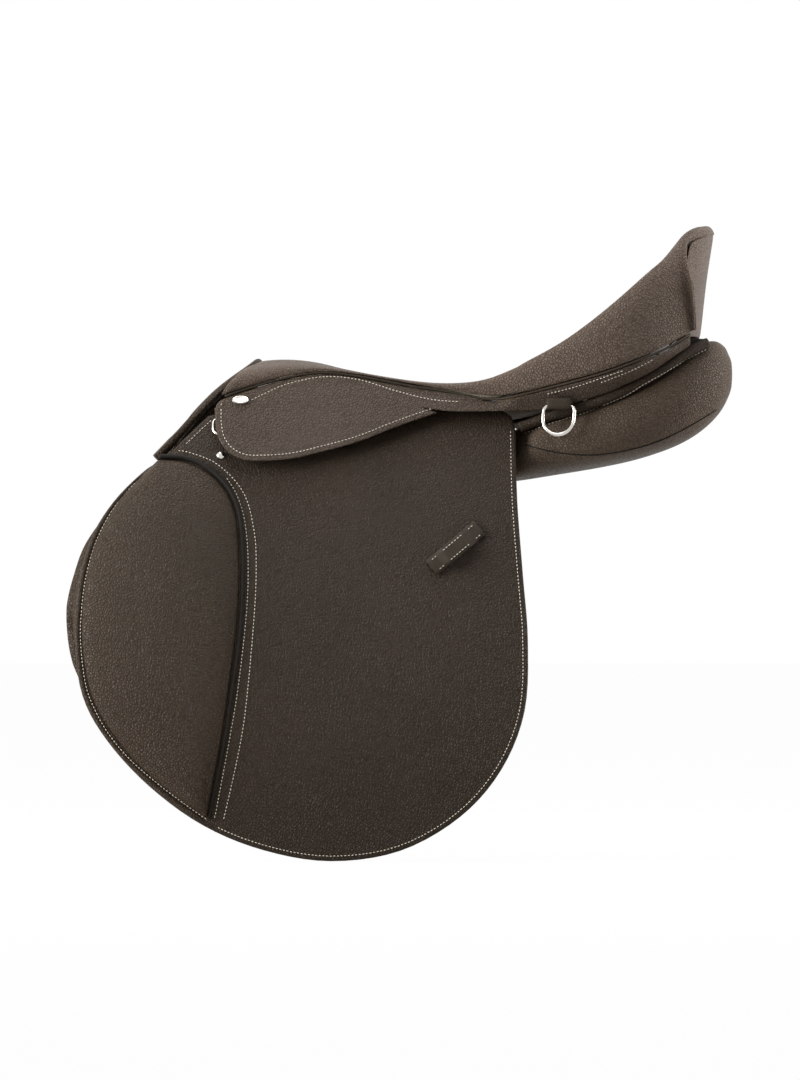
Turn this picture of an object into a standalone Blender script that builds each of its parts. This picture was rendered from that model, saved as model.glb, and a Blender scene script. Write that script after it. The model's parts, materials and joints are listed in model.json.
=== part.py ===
"""All-purpose saddle, modelled as the separate pieces that a saddler would put together.

Metres, +Z up. The pommel points to -X, the cantle to +X, and the near (left) side is -Y.
The origin is on the horse's back under the middle of the seat, where a saddle rack would carry it.
Each leather sheet starts as a flat outline in the side view and is laid over the flank's curve.
"""

import math

import bmesh
import bpy
from mathutils import Matrix, Vector

MM = 0.001
GAP = 0.35 * MM
LEFT = -1.0
RIGHT = 1.0

# Curve of the flank: half-widths at the hinge line and at the flap's lowest point
HINGE_HEIGHT = 60 * MM
FLAP_LOW = -334 * MM
WIDTH_TOP = 66 * MM
WIDTH_LOW = 200 * MM
SPLAY = 0.1
SPLAY_FROM = -50 * MM

# Thickness of each layer of leather and padding, from the horse outwards
FLAP_THICKNESS = 4.5 * MM
SKIRT_THICKNESS = 4.0 * MM
SKIRT_STANDOFF = 6.0 * MM
STRAP_THICKNESS = 4.0 * MM
STRAP_CLEARANCE = 4.2 * MM
SWEAT_FLAP_THICKNESS = 3.5 * MM
POINT_THICKNESS = 10 * MM
HEAD_PLATE_THICKNESS = 2.2 * MM

SKIRT_INNER = FLAP_THICKNESS + SKIRT_STANDOFF
SKIRT_OUTER = SKIRT_INNER + SKIRT_THICKNESS
STRAP_OUTER = -STRAP_CLEARANCE
STRAP_INNER = STRAP_OUTER - STRAP_THICKNESS
SWEAT_OUTER = STRAP_INNER - STRAP_CLEARANCE
SWEAT_INNER = SWEAT_OUTER - SWEAT_FLAP_THICKNESS
POINT_OUTER = SWEAT_INNER - GAP
POINT_INNER = POINT_OUTER - POINT_THICKNESS

# Layers under the seat, measured square to its surface
COVER_THICKNESS = 2.5 * MM
FOAM_CLEARANCE = 0.9 * MM
FOAM_THICKNESS = 11 * MM
WEBBING_THICKNESS = 1.5 * MM
SPRING_THICKNESS = 1.5 * MM
TREE_THICKNESS = 8 * MM

FOAM_TOP = COVER_THICKNESS + FOAM_CLEARANCE
WEBBING_TOP = FOAM_TOP + FOAM_THICKNESS + GAP
SPRING_TOP = WEBBING_TOP + WEBBING_THICKNESS + GAP
TREE_TOP = SPRING_TOP + SPRING_THICKNESS + GAP
TREE_BOTTOM = TREE_TOP + TREE_THICKNESS
LINING_TOP = TREE_BOTTOM + 0.8 * MM
LINING_THICKNESS = 1.8 * MM

RIM_AT = 0.7
SEAT_ROWS = 18
SEAT_COLUMNS = 20
CANTLE_ROLL = 11 * MM
CANTLE_CENTRE_X = 150 * MM
WELT_RADIUS = 1.3 * MM
HEAD_WELT_RADIUS = 4.2 * MM
PANEL_WELT_RADIUS = 4.9 * MM

# Seat stations from pommel to cantle, in millimetres: centre x, z; rim x, half-width, z; seam x,
# half-width, z. A seam half-width of 0 means that the seam lies on the skirt.
SEAT_STATIONS = (
    (-136, 96, -150, 36, 90, -172, 0, 65),
    (-112, 97.5, -118, 40, 94, -128, 0, 79),
    (-80, 93, -82, 43, 91.5, -86, 0, 87),
    (-45, 81, -45, 50, 84, -45, 0, 82),
    (-5, 71, -5, 60, 77.5, -3, 0, 74),
    (30, 65, 28, 74, 75.5, 30, 0, 69),
    (65, 64, 60, 91, 79.5, 66, 95, 62.5),
    (100, 68, 92, 107, 94, 104, 111, 71),
    (135, 77, 122, 120, 110, 138, 127, 79.5),
    (168, 92, 150, 128, 130.5, 165, 136, 87.5),
    (198, 117, 178, 129, 154, 190, 138, 97),
    (223, 157, 203, 119, 178, 213, 132, 107),
    (243, 215, 225, 99, 205, 234, 120, 120),
)


def hermite(points, index, t):
    """Smooth value between two neighbours of a list of equally long tuples."""
    before = points[max(index - 1, 0)]
    here = points[index]
    there = points[min(index + 1, len(points) - 1)]
    after = points[min(index + 2, len(points) - 1)]
    result = []
    for a, b, c, d in zip(before, here, there, after):
        m0 = (c - a) / 2
        m1 = (d - b) / 2
        result.append(
            (2 * t**3 - 3 * t**2 + 1) * b
            + (t**3 - 2 * t**2 + t) * m0
            + (-2 * t**3 + 3 * t**2) * c
            + (t**3 - t**2) * m1
        )
    return result


def along(points, share):
    """Point at a share (0 to 1) of the way along a smooth line through the points."""
    place = min(max(share, 0.0), 1.0) * (len(points) - 1)
    index = min(int(place), len(points) - 2)
    return hermite(points, index, place - index)


def smooth_line(points, per_span):
    """Points on the smooth open line through the given ones, both ends included."""
    line = []
    for index in range(len(points) - 1):
        for step in range(per_span):
            line.append(hermite(points, index, step / per_span))
    line.append(list(points[-1]))
    return line


def in_metres(points):
    return [tuple(value * MM for value in point) for point in points]


def height_share(z):
    return (z - FLAP_LOW) / (HINGE_HEIGHT - FLAP_LOW)


def layer(x, z, offset):
    """Half-width of the flank at a place in the side view, offset square to its surface."""
    drop = WIDTH_LOW - WIDTH_TOP
    share = height_share(z)
    slope = 2 * drop * share / (HINGE_HEIGHT - FLAP_LOW)
    width = WIDTH_TOP + SPLAY * (x - SPLAY_FROM) + drop * (1 - share * share)
    return width + offset * math.sqrt(1 + slope * slope + SPLAY * SPLAY)


def on_flank(side, x, z, offset):
    return Vector((x, side * layer(x, z, offset), z))


def bezier(p0, p1, p2, p3, t):
    s = 1 - t
    return p0 * s**3 + p1 * (3 * s * s * t) + p2 * (3 * s * t * t) + p3 * t**3


def seat_point(u, w):
    """Point of the seat's surface: u runs from pommel to cantle, w across from -1 to 1."""
    cx, cz, rx, ry, rz, ex, ey, ez = [value * MM for value in along(SEAT_STATIONS, u)]
    side = -1.0 if w < 0 else 1.0
    across = abs(w)
    ey = max(ey, layer(ex, ez, SKIRT_OUTER))
    centre = Vector((cx, 0, cz))
    rim = Vector((rx, ry, rz))
    seam = Vector((ex, ey, ez))
    if across <= RIM_AT:
        inner = Vector((cx, ry * 0.5, cz))
        outer = Vector(((cx + rx) / 2, ry * 0.8, rz + 0.55 * max(0.0, cz - rz)))
        point = bezier(centre, inner, outer, rim, across / RIM_AT)
    else:
        flank = rz - ez
        over = rim + Vector(((ex - rx) * 0.2, 0.75 * (ey - ry) + 2 * MM, -0.04 * flank))
        under = seam + Vector((-(ex - rx) * 0.2, 3 * MM, 0.5 * flank))
        point = bezier(rim, over, under, seam, (across - RIM_AT) / (1 - RIM_AT))
    point.y *= side
    return point


def seat_normal(u, w):
    """Direction square to the seat's surface, pointing up and out."""
    step = 0.01
    low, high = max(u - step, 0.0), min(u + step, 1.0)
    lengthwise = seat_point(high, w) - seat_point(low, w)
    left, right = max(w - step, -1.0), min(w + step, 1.0)
    crosswise = seat_point(u, right) - seat_point(u, left)
    return lengthwise.cross(crosswise).normalized()


def under_seat(u, w, depth):
    return seat_point(u, w) - seat_normal(u, w) * depth


def cantle_back(w, angle):
    """Point on the roll behind the cantle's rim, angle from its top."""
    point = seat_point(1.0, w)
    fade = max(0.0, (abs(w) - RIM_AT) / (1 - RIM_AT))
    radius = CANTLE_ROLL * (1 - 0.75 * fade)
    out = Vector((point.x - CANTLE_CENTRE_X, point.y, 0)).normalized()
    lift = -radius * (1 - math.cos(angle)) * (1 - fade)
    return point + out * radius * math.sin(angle) + Vector((0, 0, lift))


# Scene, materials and the mesh helpers

def clear_scene():
    for item in list(bpy.data.objects):
        bpy.data.objects.remove(item, do_unlink=True)


def collection(name):
    made = bpy.data.collections.new(name)
    bpy.context.scene.collection.children.link(made)
    return made


clear_scene()
PARTS = collection("all_purpose_saddle")
CUTTERS = collection("cutters")
MATERIALS = {}


def material(name):
    """Principled materials of the saddle: colour, roughness and metallic value."""
    looks = {
        "grain_leather": ((0.060, 0.051, 0.045), 0.48, 0.0),
        "smooth_leather": ((0.040, 0.034, 0.029), 0.42, 0.0),
        "lining_leather": ((0.050, 0.042, 0.036), 0.60, 0.0),
        "nickel": ((0.72, 0.71, 0.68), 0.20, 1.0),
        "forged_steel": ((0.42, 0.42, 0.43), 0.35, 1.0),
        "beech_laminate": ((0.42, 0.27, 0.15), 0.65, 0.0),
        "web_fabric": ((0.56, 0.52, 0.44), 0.90, 0.0),
        "foam": ((0.72, 0.68, 0.58), 0.95, 0.0),
    }
    if name not in MATERIALS:
        colour, roughness, metallic = looks[name]
        made = bpy.data.materials.new(name)
        made.use_nodes = True
        shader = made.node_tree.nodes["Principled BSDF"]
        shader.inputs["Base Color"].default_value = (*colour, 1.0)
        shader.inputs["Roughness"].default_value = roughness
        shader.inputs["Metallic"].default_value = metallic
        MATERIALS[name] = made
    return MATERIALS[name]


def place(name, mesh, finish, group=None):
    made = bpy.data.objects.new(name, mesh)
    mesh.materials.clear()
    mesh.materials.append(material(finish))
    (group or PARTS).objects.link(made)
    return made


def finish_mesh(bm, name, smooth=True):
    bmesh.ops.recalc_face_normals(bm, faces=bm.faces)
    closed = not any(edge.is_boundary for edge in bm.edges)
    if closed and bm.calc_volume(signed=True) < 0:
        bmesh.ops.reverse_faces(bm, faces=bm.faces)
    mesh = bpy.data.meshes.new(name)
    bm.to_mesh(mesh)
    bm.free()
    if smooth:
        mesh.shade_smooth()
        mesh.set_sharp_from_angle(angle=math.radians(35))
    return mesh


def grid(bm, place_at, rows, columns):
    """A square grid whose corners are moved to place_at(u, v), u and v from 0 to 1."""
    made = bmesh.ops.create_grid(bm, x_segments=rows, y_segments=columns, size=0.5)
    for vert in made["verts"]:
        vert.co = place_at(vert.co.x + 0.5, vert.co.y + 0.5)
    return made["verts"]


def open_border(verts):
    chosen = set(verts)
    edges = {edge for vert in verts for edge in vert.link_edges}
    return [edge for edge in edges if edge.is_boundary and set(edge.verts) <= chosen]


def pad(name, finish, top, bottom, rows, columns):
    """A closed pad between two surfaces, each a function of u and v."""
    bm = bmesh.new()
    upper = grid(bm, top, rows, columns)
    upper_border = open_border(upper)
    lower = grid(bm, bottom, rows, columns)
    lower_border = open_border(lower)
    bmesh.ops.bridge_loops(bm, edges=upper_border + lower_border)
    return place(name, finish_mesh(bm, name), finish)


def fill_outline(name, outline):
    """Flat outline in the side view, filled and one unit thick, as one clean mesh."""
    data = bpy.data.curves.new(name, "CURVE")
    data.dimensions = "2D"
    data.fill_mode = "BOTH"
    data.extrude = 0.5
    spline = data.splines.new("POLY")
    spline.points.add(len(outline) - 1)
    for point, (x, z) in zip(spline.points, outline):
        point.co = (x, z, 0, 1)
    spline.use_cyclic_u = True
    guide = bpy.data.objects.new(name + "_flat", data)
    CUTTERS.objects.link(guide)
    bpy.context.view_layer.update()
    evaluated = guide.evaluated_get(bpy.context.evaluated_depsgraph_get())
    mesh = bpy.data.meshes.new_from_object(evaluated)
    bpy.data.objects.remove(guide, do_unlink=True)
    bm = bmesh.new()
    bm.from_mesh(mesh)
    bmesh.ops.remove_doubles(bm, verts=bm.verts, dist=1e-6)
    bmesh.ops.dissolve_limit(bm, angle_limit=0.01, verts=bm.verts, edges=bm.edges)
    return bm


STRIP_HEIGHT = 24 * MM


def cut_strips(bm, low, high):
    """Cut the flat piece along level lines, so that it can follow the flank's curve."""
    level = math.floor(low / STRIP_HEIGHT) * STRIP_HEIGHT
    while level < high:
        geometry = list(bm.verts) + list(bm.edges) + list(bm.faces)
        bmesh.ops.bisect_plane(
            bm, geom=geometry, dist=1e-6, plane_co=(0, level, 0), plane_no=(0, 1, 0)
        )
        level += STRIP_HEIGHT


def draped(name, finish, outline, inner, outer, side):
    """A sheet of leather: its outline laid on the flank between two offsets."""
    bm = fill_outline(name, outline)
    heights = [z for _, z in outline]
    cut_strips(bm, min(heights), max(heights))
    for vert in bm.verts:
        x, z, face = vert.co
        vert.co = on_flank(side, x, z, outer if face > 0 else inner)
    return place(name, finish_mesh(bm, name), finish)


def tube(name, finish, points, radius, cyclic=False, resolution=2):
    """A round tube along a line of points, with filled ends, as a mesh."""
    data = bpy.data.curves.new(name, "CURVE")
    data.dimensions = "3D"
    data.bevel_depth = radius
    data.bevel_resolution = resolution
    data.use_fill_caps = not cyclic
    spline = data.splines.new("POLY")
    spline.points.add(len(points) - 1)
    for point, co in zip(spline.points, points):
        point.co = (*co, 1)
    spline.use_cyclic_u = cyclic
    guide = bpy.data.objects.new(name + "_line", data)
    CUTTERS.objects.link(guide)
    bpy.context.view_layer.update()
    evaluated = guide.evaluated_get(bpy.context.evaluated_depsgraph_get())
    mesh = bpy.data.meshes.new_from_object(evaluated)
    bpy.data.objects.remove(guide, do_unlink=True)
    bm = bmesh.new()
    bm.from_mesh(mesh)
    bmesh.ops.remove_doubles(bm, verts=bm.verts, dist=1e-6)
    return place(name, finish_mesh(bm, name), finish)


def boolean(target, cutter, operation):
    """Join or cut two meshes and drop the second one."""
    step = target.modifiers.new(operation.lower(), "BOOLEAN")
    step.object = cutter
    step.operation = operation
    step.solver = "EXACT"
    bpy.context.view_layer.update()
    evaluated = target.evaluated_get(bpy.context.evaluated_depsgraph_get())
    mesh = bpy.data.meshes.new_from_object(evaluated)
    target.modifiers.clear()
    old = target.data
    target.data = mesh
    bpy.data.meshes.remove(old)
    bpy.data.objects.remove(cutter, do_unlink=True)
    return target


def block(name, size, centre, turn=None, finish="forged_steel"):
    """A rectangular block; turn is a rotation matrix."""
    bm = bmesh.new()
    bmesh.ops.create_cube(bm, size=1.0)
    bmesh.ops.scale(bm, vec=size, verts=bm.verts)
    if turn is not None:
        bmesh.ops.rotate(bm, cent=(0, 0, 0), matrix=turn, verts=bm.verts)
    bmesh.ops.translate(bm, vec=centre, verts=bm.verts)
    return place(name, finish_mesh(bm, name, smooth=False), finish)


def rounded(width, height, radius, steps=4):
    """Outline of a rectangle with round corners, centred on its middle."""
    points = []
    corners = ((1, 1, 0), (-1, 1, 90), (-1, -1, 180), (1, -1, 270))
    for sx, sy, start in corners:
        for step in range(steps + 1):
            angle = math.radians(start + 90 * step / steps)
            x = sx * (width / 2 - radius) + radius * math.cos(angle)
            y = sy * (height / 2 - radius) + radius * math.sin(angle)
            points.append((x, y))
    return points


def set_origin(made, point):
    """Put the object's origin on its joint's axis and leave its shape where it is."""
    made.data.transform(Matrix.Translation(-Vector(point)))
    made.location = point


def side_name(stem, side):
    return f"{stem}_left" if side == LEFT else f"{stem}_right"


# Seat, tree and what lies between them

def make_seat_cover():
    """Cover over the seat, rolled over the cantle's rim: an open sheet with a Solidify wall."""
    rows, roll_rows, columns = SEAT_ROWS, 4, SEAT_COLUMNS
    total = rows + roll_rows
    bm = bmesh.new()

    def place_at(u, v):
        row = round(u * total)
        w = 2 * v - 1
        if row <= rows:
            return seat_point(row / rows, w)
        return cantle_back(w, ROLL_ANGLE * (row - rows) / roll_rows)

    grid(bm, place_at, total, columns)
    mesh = finish_mesh(bm, "seat_cover")
    if mesh.polygons[len(mesh.polygons) // 2].normal.z < 0:
        mesh.flip_normals()
    cover = place("seat_cover", mesh, "grain_leather")
    wall = cover.modifiers.new("wall", "SOLIDIFY")
    wall.thickness = COVER_THICKNESS
    wall.offset = -1


ROLL_ANGLE = math.radians(100)
FACING_BOTTOM = 114 * MM
FACING_THICKNESS = 2.0 * MM
FACING_FLARE = 0.15
FACING_LEAN = 10 * MM
FACING_BUTT = GAP + 0.1 * MM
FACING_TUCK = COVER_THICKNESS + GAP + 0.15 * MM


def make_cantle_facing():
    """Leather on the back of the cantle, from the rim's roll down to the panels."""
    def back(u, v, depth):
        w = (2 * v - 1) * RIM_AT
        top = cantle_back(w, ROLL_ANGLE)
        out = Vector((top.x - CANTLE_CENTRE_X, top.y, 0)).normalized()
        tuck = FACING_TUCK * abs(w / RIM_AT) ** 4
        top += Vector((0, 0, -FACING_BUTT)) - out * tuck
        flare = 1 + FACING_FLARE * (w / RIM_AT) ** 2
        low = Vector((top.x - FACING_LEAN * (1 - abs(w)), top.y * flare, FACING_BOTTOM))
        return top.lerp(low, u) - out * depth

    pad(
        "cantle_facing", "smooth_leather",
        lambda u, v: back(u, v, 0.0), lambda u, v: back(u, v, FACING_THICKNESS), 3, 14,
    )


def seat_layer(name, finish, row_from, row_to, column_to, top, thickness):
    """A layer under the seat, on the same rows and columns as the cover, column_to from the middle."""
    rows = row_to - row_from
    half = 2 * column_to / SEAT_COLUMNS

    def surface(u, v, depth):
        return under_seat((row_from + rows * u) / SEAT_ROWS, (2 * v - 1) * half, depth)

    return pad(
        name, finish, lambda u, v: surface(u, v, top),
        lambda u, v: surface(u, v, top + thickness), rows, 2 * column_to,
    )


TREE_FROM, TREE_TO, TREE_HALF_COLUMNS = 1, 15, 5
POINT_OUTLINE = (
    (-136, 70), (-142, 40), (-160, 5), (-180, -36), (-168, -60), (-150, -48), (-138, 0), (-114, 16),
    (-74, 18), (-69, 44), (-76, 67), (-98, 72), (-120, 73),
)


RAIL_HOLE = (170 * MM, 50 * MM, 24 * MM)
RAIL_HOLE_X = 25 * MM
RAIL_HOLE_LOW, RAIL_HOLE_REACH = 60 * MM, 120 * MM


def make_tree():
    """Laminated tree: dished body with a hole between the rails, and the two points of its arch."""
    tree = seat_layer(
        "tree", "beech_laminate", TREE_FROM, TREE_TO, TREE_HALF_COLUMNS, TREE_TOP, TREE_THICKNESS
    )
    bm = fill_outline("rail_hole", rounded(*RAIL_HOLE, 4))
    for vert in bm.verts:
        x, y, face = vert.co
        vert.co = (x + RAIL_HOLE_X, y, RAIL_HOLE_LOW + RAIL_HOLE_REACH * face)
    hole = place("rail_hole", finish_mesh(bm, "rail_hole"), "beech_laminate", CUTTERS)
    boolean(tree, hole, "DIFFERENCE")
    for side in (LEFT, RIGHT):
        outline = smooth_line(in_metres(POINT_OUTLINE), 2)
        point = draped("tree_point", "beech_laminate", outline, POINT_INNER, POINT_OUTER, side)
        boolean(tree, point, "UNION")


SPRING_ROWS = 12
SPRING_COLUMN = 4


def make_seat_insides():
    """Foam, webbing and the two spring steel strips, from the cover down to the tree."""
    seat_layer("seat_foam", "foam", 1, 16, 6, FOAM_TOP, FOAM_THICKNESS)
    seat_layer("seat_webbing", "web_fabric", 1, 15, 3, WEBBING_TOP, WEBBING_THICKNESS)
    for side in (LEFT, RIGHT):
        def spring(u, v, depth, side=side):
            row = 2 + SPRING_ROWS * u
            column = SPRING_COLUMN + v
            return under_seat(row / SEAT_ROWS, side * 2 * column / SEAT_COLUMNS, depth)

        pad(
            side_name("tree_spring", side), "forged_steel",
            lambda u, v, f=spring: f(u, v, SPRING_TOP),
            lambda u, v, f=spring: f(u, v, SPRING_TOP + SPRING_THICKNESS), SPRING_ROWS, 1,
        )


def make_metal_plates():
    """Head plate under the front arch and cantle plate under the back of the tree."""
    plate_top = TREE_BOTTOM + GAP
    seat_layer("head_plate", "forged_steel", 1, 3, 2, plate_top, HEAD_PLATE_THICKNESS)
    seat_layer("cantle_plate", "forged_steel", 13, 15, 4, plate_top, HEAD_PLATE_THICKNESS)


def make_gullet_lining():
    """Leather under the tree, between the panels."""
    seat_layer("gullet_lining", "lining_leather", 4, 12, 2, LINING_TOP, LINING_THICKNESS)


# The head: welt and facing of the front arch, in millimetres x, half-width, z from the top down

HEAD_WELT_LINE = (
    (-140.4, 0, 94.6), (-142.4, 14, 92.6), (-149.4, 27, 87.1), (-162, 38, 78), (-176, 48, 66.5),
    (-191, 57, 51), (-204, 64, 36), (-217, 70, 22), (-228, 74, 10.5),
)
HEAD_ARCH_LINE = (
    (-146, 0, 56), (-147, 9, 55), (-152, 18, 50), (-162, 26, 40), (-175, 32, 26),
    (-187, 37, 8), (-198, 42, -12), (-207, 47, -32), (-214, 53, -50),
)
HEAD_FACING_THICKNESS = 2.5 * MM
FACING_TUCK_Z = 16 * MM


def mirrored_line(points, per_span):
    half = [Vector(p) for p in smooth_line(in_metres(points), per_span)]
    other = [Vector((p.x, -p.y, p.z)) for p in reversed(half[1:])]
    return other + half


def make_head():
    welt = mirrored_line(HEAD_WELT_LINE, 2)
    tube("head_welt", "smooth_leather", welt, HEAD_WELT_RADIUS, resolution=1)
    inset = HEAD_WELT_RADIUS + GAP + 0.5 * MM

    def facing(u, v, depth):
        w = 2 * v - 1
        side = -1.0 if w < 0 else 1.0
        outer = Vector(along(HEAD_WELT_LINE, abs(w))) * MM
        inner = Vector(along(HEAD_ARCH_LINE, abs(w))) * MM
        toward = (inner - outer).normalized()
        point = (outer + toward * inset).lerp(inner, u)
        if point.z < FACING_TUCK_Z:
            point.y = min(point.y, layer(point.x, point.z, SWEAT_INNER) - 1.5 * MM)
        point.x += depth
        point.y *= side
        return point

    pad(
        "head_facing", "smooth_leather",
        lambda u, v: facing(u, v, 0.0), lambda u, v: facing(u, v, HEAD_FACING_THICKNESS), 3, 20,
    )


SEAT_WELT_STEPS = 28
SEAT_WELT_DROP = WELT_RADIUS + GAP + 0.4 * MM


def make_seat_welt():
    """Piping along the seam between the seat's cover and the skirts, one length a side."""
    for side in (LEFT, RIGHT):
        points = []
        for step in range(SEAT_WELT_STEPS + 1):
            seam = seat_point(0.01 + 0.98 * step / SEAT_WELT_STEPS, 1.0)
            points.append(Vector((seam.x, side * (seam.y - WELT_RADIUS * 0.3), seam.z - SEAT_WELT_DROP)))
        tube(side_name("seat_welt", side), "smooth_leather", points, WELT_RADIUS, resolution=1)


# Panels: stations in millimetres x, inner and outer half-width, lowest and highest z

PANEL_STATIONS = (
    (-192, 40, 74, -62, 4), (-165, 34, 74, -44, 24), (-135, 30, 74, -31, 33), (-100, 28, 76, -22, 36),
    (-50, 28, 84, -15, 38), (0, 28, 88, -13, 35.5), (50, 28, 96, -12, 32), (84, 29, 107, -9, 35),
    (112, 30, 115, -4, 45), (138, 31, 124, 0, 52.5), (169, 32, 132, 5, 64), (203, 33, 134, 13, 82),
    (232, 36, 129, 25, 103), (252, 42, 118, 40, 112), (264, 51, 104, 55, 106), (270, 64, 90, 70, 95),
)
PANEL_SQUARENESS = 2.8
PANEL_LEAST_WIDTH = 6 * MM
POINT_REAR = -45 * MM
FLAP_REAR_LIMIT = 82 * MM


def panel_point(share, angle):
    """Point on the panel's skin: share along it, angle round its section from the outer side."""
    x, inner, outer, low, high = [value * MM for value in along(PANEL_STATIONS, share)]
    power = 2 / PANEL_SQUARENESS
    c, s = math.cos(angle), math.sin(angle)
    y = (inner + outer) / 2 + (outer - inner) / 2 * math.copysign(abs(c) ** power, c)
    z = (low + high) / 2 + (high - low) / 2 * math.copysign(abs(s) ** power, s)
    if x < FLAP_REAR_LIMIT:
        limit = POINT_INNER if x < POINT_REAR else SWEAT_INNER
        inward = 1 - (y - inner) / (outer - inner)
        y = min(y, layer(x, z, limit - GAP) - 0.3 * MM - PANEL_LEAST_WIDTH * inward)
    return Vector((x, y, z))


def make_panel(side):
    rows, around = 24, 16
    bm = bmesh.new()

    def place_at(u, v):
        point = panel_point(u, 2 * math.pi * v)
        point.y *= side
        return point

    grid(bm, place_at, rows, around)
    bmesh.ops.remove_doubles(bm, verts=bm.verts, dist=1e-6)
    bmesh.ops.holes_fill(bm, edges=[edge for edge in bm.edges if edge.is_boundary])
    name = side_name("panel", side)
    place(name, finish_mesh(bm, name), "grain_leather")


WELT_ANGLE = math.radians(52)


def panel_welt_point(share):
    """Middle of the rolled welt along the panel's upper outer edge."""
    skin = panel_point(share, WELT_ANGLE)
    ahead = panel_point(min(share + 0.01, 1.0), WELT_ANGLE)
    behind = panel_point(max(share - 0.01, 0.0), WELT_ANGLE)
    above = panel_point(share, WELT_ANGLE + 0.15)
    below = panel_point(share, WELT_ANGLE - 0.15)
    normal = (ahead - behind).cross(below - above).normalized()
    if normal.z < 0:
        normal = -normal
    return skin + normal * (PANEL_WELT_RADIUS + GAP)


WELT_FROM, WELT_TO = 0.475, 0.85


def make_panel_welt(side):
    points = []
    for step in range(19):
        point = panel_welt_point(WELT_FROM + (WELT_TO - WELT_FROM) * step / 18)
        points.append(Vector((point.x, side * point.y, point.z)))
    tube(side_name("panel_welt", side), "smooth_leather", points, PANEL_WELT_RADIUS, resolution=2)


# Stirrup bar and its catch, and the notch that they need in the flap's top

BAR_X, BAR_Z = -120 * MM, 34 * MM
BAR_LENGTH = 78 * MM
BAR_DEPTH = 7.5 * MM
BAR_HEIGHT = 9 * MM
BAR_SLOT = 6.8 * MM
BAR_PLATE = (94 * MM, 2.6 * MM, 22 * MM)
CATCH_LENGTH = 22 * MM
PIN_RADIUS = 1.5 * MM
TONGUE_DEPTH = 2.6 * MM
TONGUE_REACH = 8.6 * MM
PIN_FROM_END = 5.2 * MM
BAR_SEAT = 0.9 * MM
BAR_OUT = POINT_OUTER + BAR_SEAT + BAR_PLATE[1] + BAR_SLOT + BAR_DEPTH / 2
NOTCH_FRONT = BAR_X - BAR_PLATE[0] / 2
NOTCH_REAR = BAR_X + BAR_LENGTH / 2 + PIN_FROM_END + CATCH_LENGTH - BAR_HEIGHT / 2 + 2.3 * MM
NOTCH_LOW = BAR_Z - BAR_HEIGHT / 2 - 9.5 * MM
NOTCH_CORNER = 6 * MM

# Sheets of the flank: outlines in the side view, in millimetres x, z

HINGE_Z = 54 * MM
SPLIT_GAP = 0.4 * MM
FLAP_OUTLINE = (
    (-183, 47), (-206, 25), (-222, 7.5), (-236, 1), (-264, -27), (-284, -61), (-294, -103), (-296, -146),
    (-289, -193.5), (-267.5, -232), (-231, -271), (-185, -304), (-133, -325), (-76, -334), (-17, -325),
    (34, -296), (69, -256), (89, -206), (92, -146), (88, -90), (83.5, -26), (82.5, 34),
)
SWEAT_OUTLINE = (
    (-214, 2), (-231, -4), (-251, -17), (-272, -40), (-289, -64), (-298, -90), (-304, -116), (-303, -142),
    (-298, -167), (-282, -198), (-249, -236), (-198, -269), (-138, -284), (-60, -284), (9, -262),
    (58, -215), (79, -155), (80, -77), (76, 0), (71, 12),
)
FLAP_TOP = 52 * MM
SKIRT_OUTLINE = (
    (-177, 46), (-175, 31), (-170.5, 21.5), (-165, 15.5), (-156, 10.2), (-143, 7.8), (-112, 9.5),
    (-82, 16.3), (-52.5, 24.5), (-26, 35), (-6, 42.4), (4, 45.8), (13, 48.6),
)


SKIRT_TAIL = ((14.2, 49.3), (13.6, 50.1), (2.6, 53.2))


def hinge_point(side):
    """Middle of the line about which flap and skirt lift, on the skirt's outer face."""
    return on_flank(side, SPLAY_FROM, HINGE_Z, SKIRT_OUTER)


def flap_outline():
    line = [(x, z) for x, z in smooth_line(in_metres(FLAP_OUTLINE), 2)]
    top = [
        (79 * MM, 46 * MM), (72 * MM, 51 * MM), (64 * MM, FLAP_TOP), (NOTCH_REAR + 2 * MM, FLAP_TOP),
        (NOTCH_REAR, FLAP_TOP - 4 * MM), (NOTCH_REAR, NOTCH_LOW + NOTCH_CORNER),
        (NOTCH_REAR - NOTCH_CORNER, NOTCH_LOW), (NOTCH_FRONT + NOTCH_CORNER, NOTCH_LOW),
        (NOTCH_FRONT, NOTCH_LOW + NOTCH_CORNER), (NOTCH_FRONT, FLAP_TOP - 4 * MM),
        (NOTCH_FRONT - 2 * MM, FLAP_TOP - 2 * MM),
    ]
    return line + top


def make_flap(side):
    flap = draped(side_name("flap", side), "grain_leather", flap_outline(), 0.0, FLAP_THICKNESS, side)
    set_origin(flap, hinge_point(side))


def make_sweat_flap(side):
    line = [(x, z) for x, z in smooth_line(in_metres(SWEAT_OUTLINE), 2)]
    draped(side_name("sweat_flap", side), "smooth_leather", line, SWEAT_INNER, SWEAT_OUTER, side)


def make_skirt(side):
    top = HINGE_Z - SPLIT_GAP
    front = (SKIRT_OUTLINE[0][0] - 0.5) * MM
    line = [(front, top)] + [(x, z) for x, z in smooth_line(in_metres(SKIRT_OUTLINE), 2)]
    line.extend(in_metres(SKIRT_TAIL))
    line.append((SKIRT_TAIL[-1][0] * MM, top))
    skirt = draped(side_name("skirt", side), "grain_leather", line, SKIRT_INNER, SKIRT_OUTER, side)
    set_origin(skirt, hinge_point(side))


# Lower edge of the skirt's fixed part behind the lifting part, in millimetres x, z
STRIP_LOW_LINE = ((11, 54.4), (16, 50.3), (35, 50.5), (60, 50.8), (84, 51.5))


STRIP_FROM, STRIP_TO = 0.004, 0.99
STRIP_FRONT_SLANT = 5.5 * MM
STRIP_SLANT_SHARE = 0.05
STRIP_FULLNESS = 0.75
STRIP_SWELL = 0.8 * MM


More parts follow.
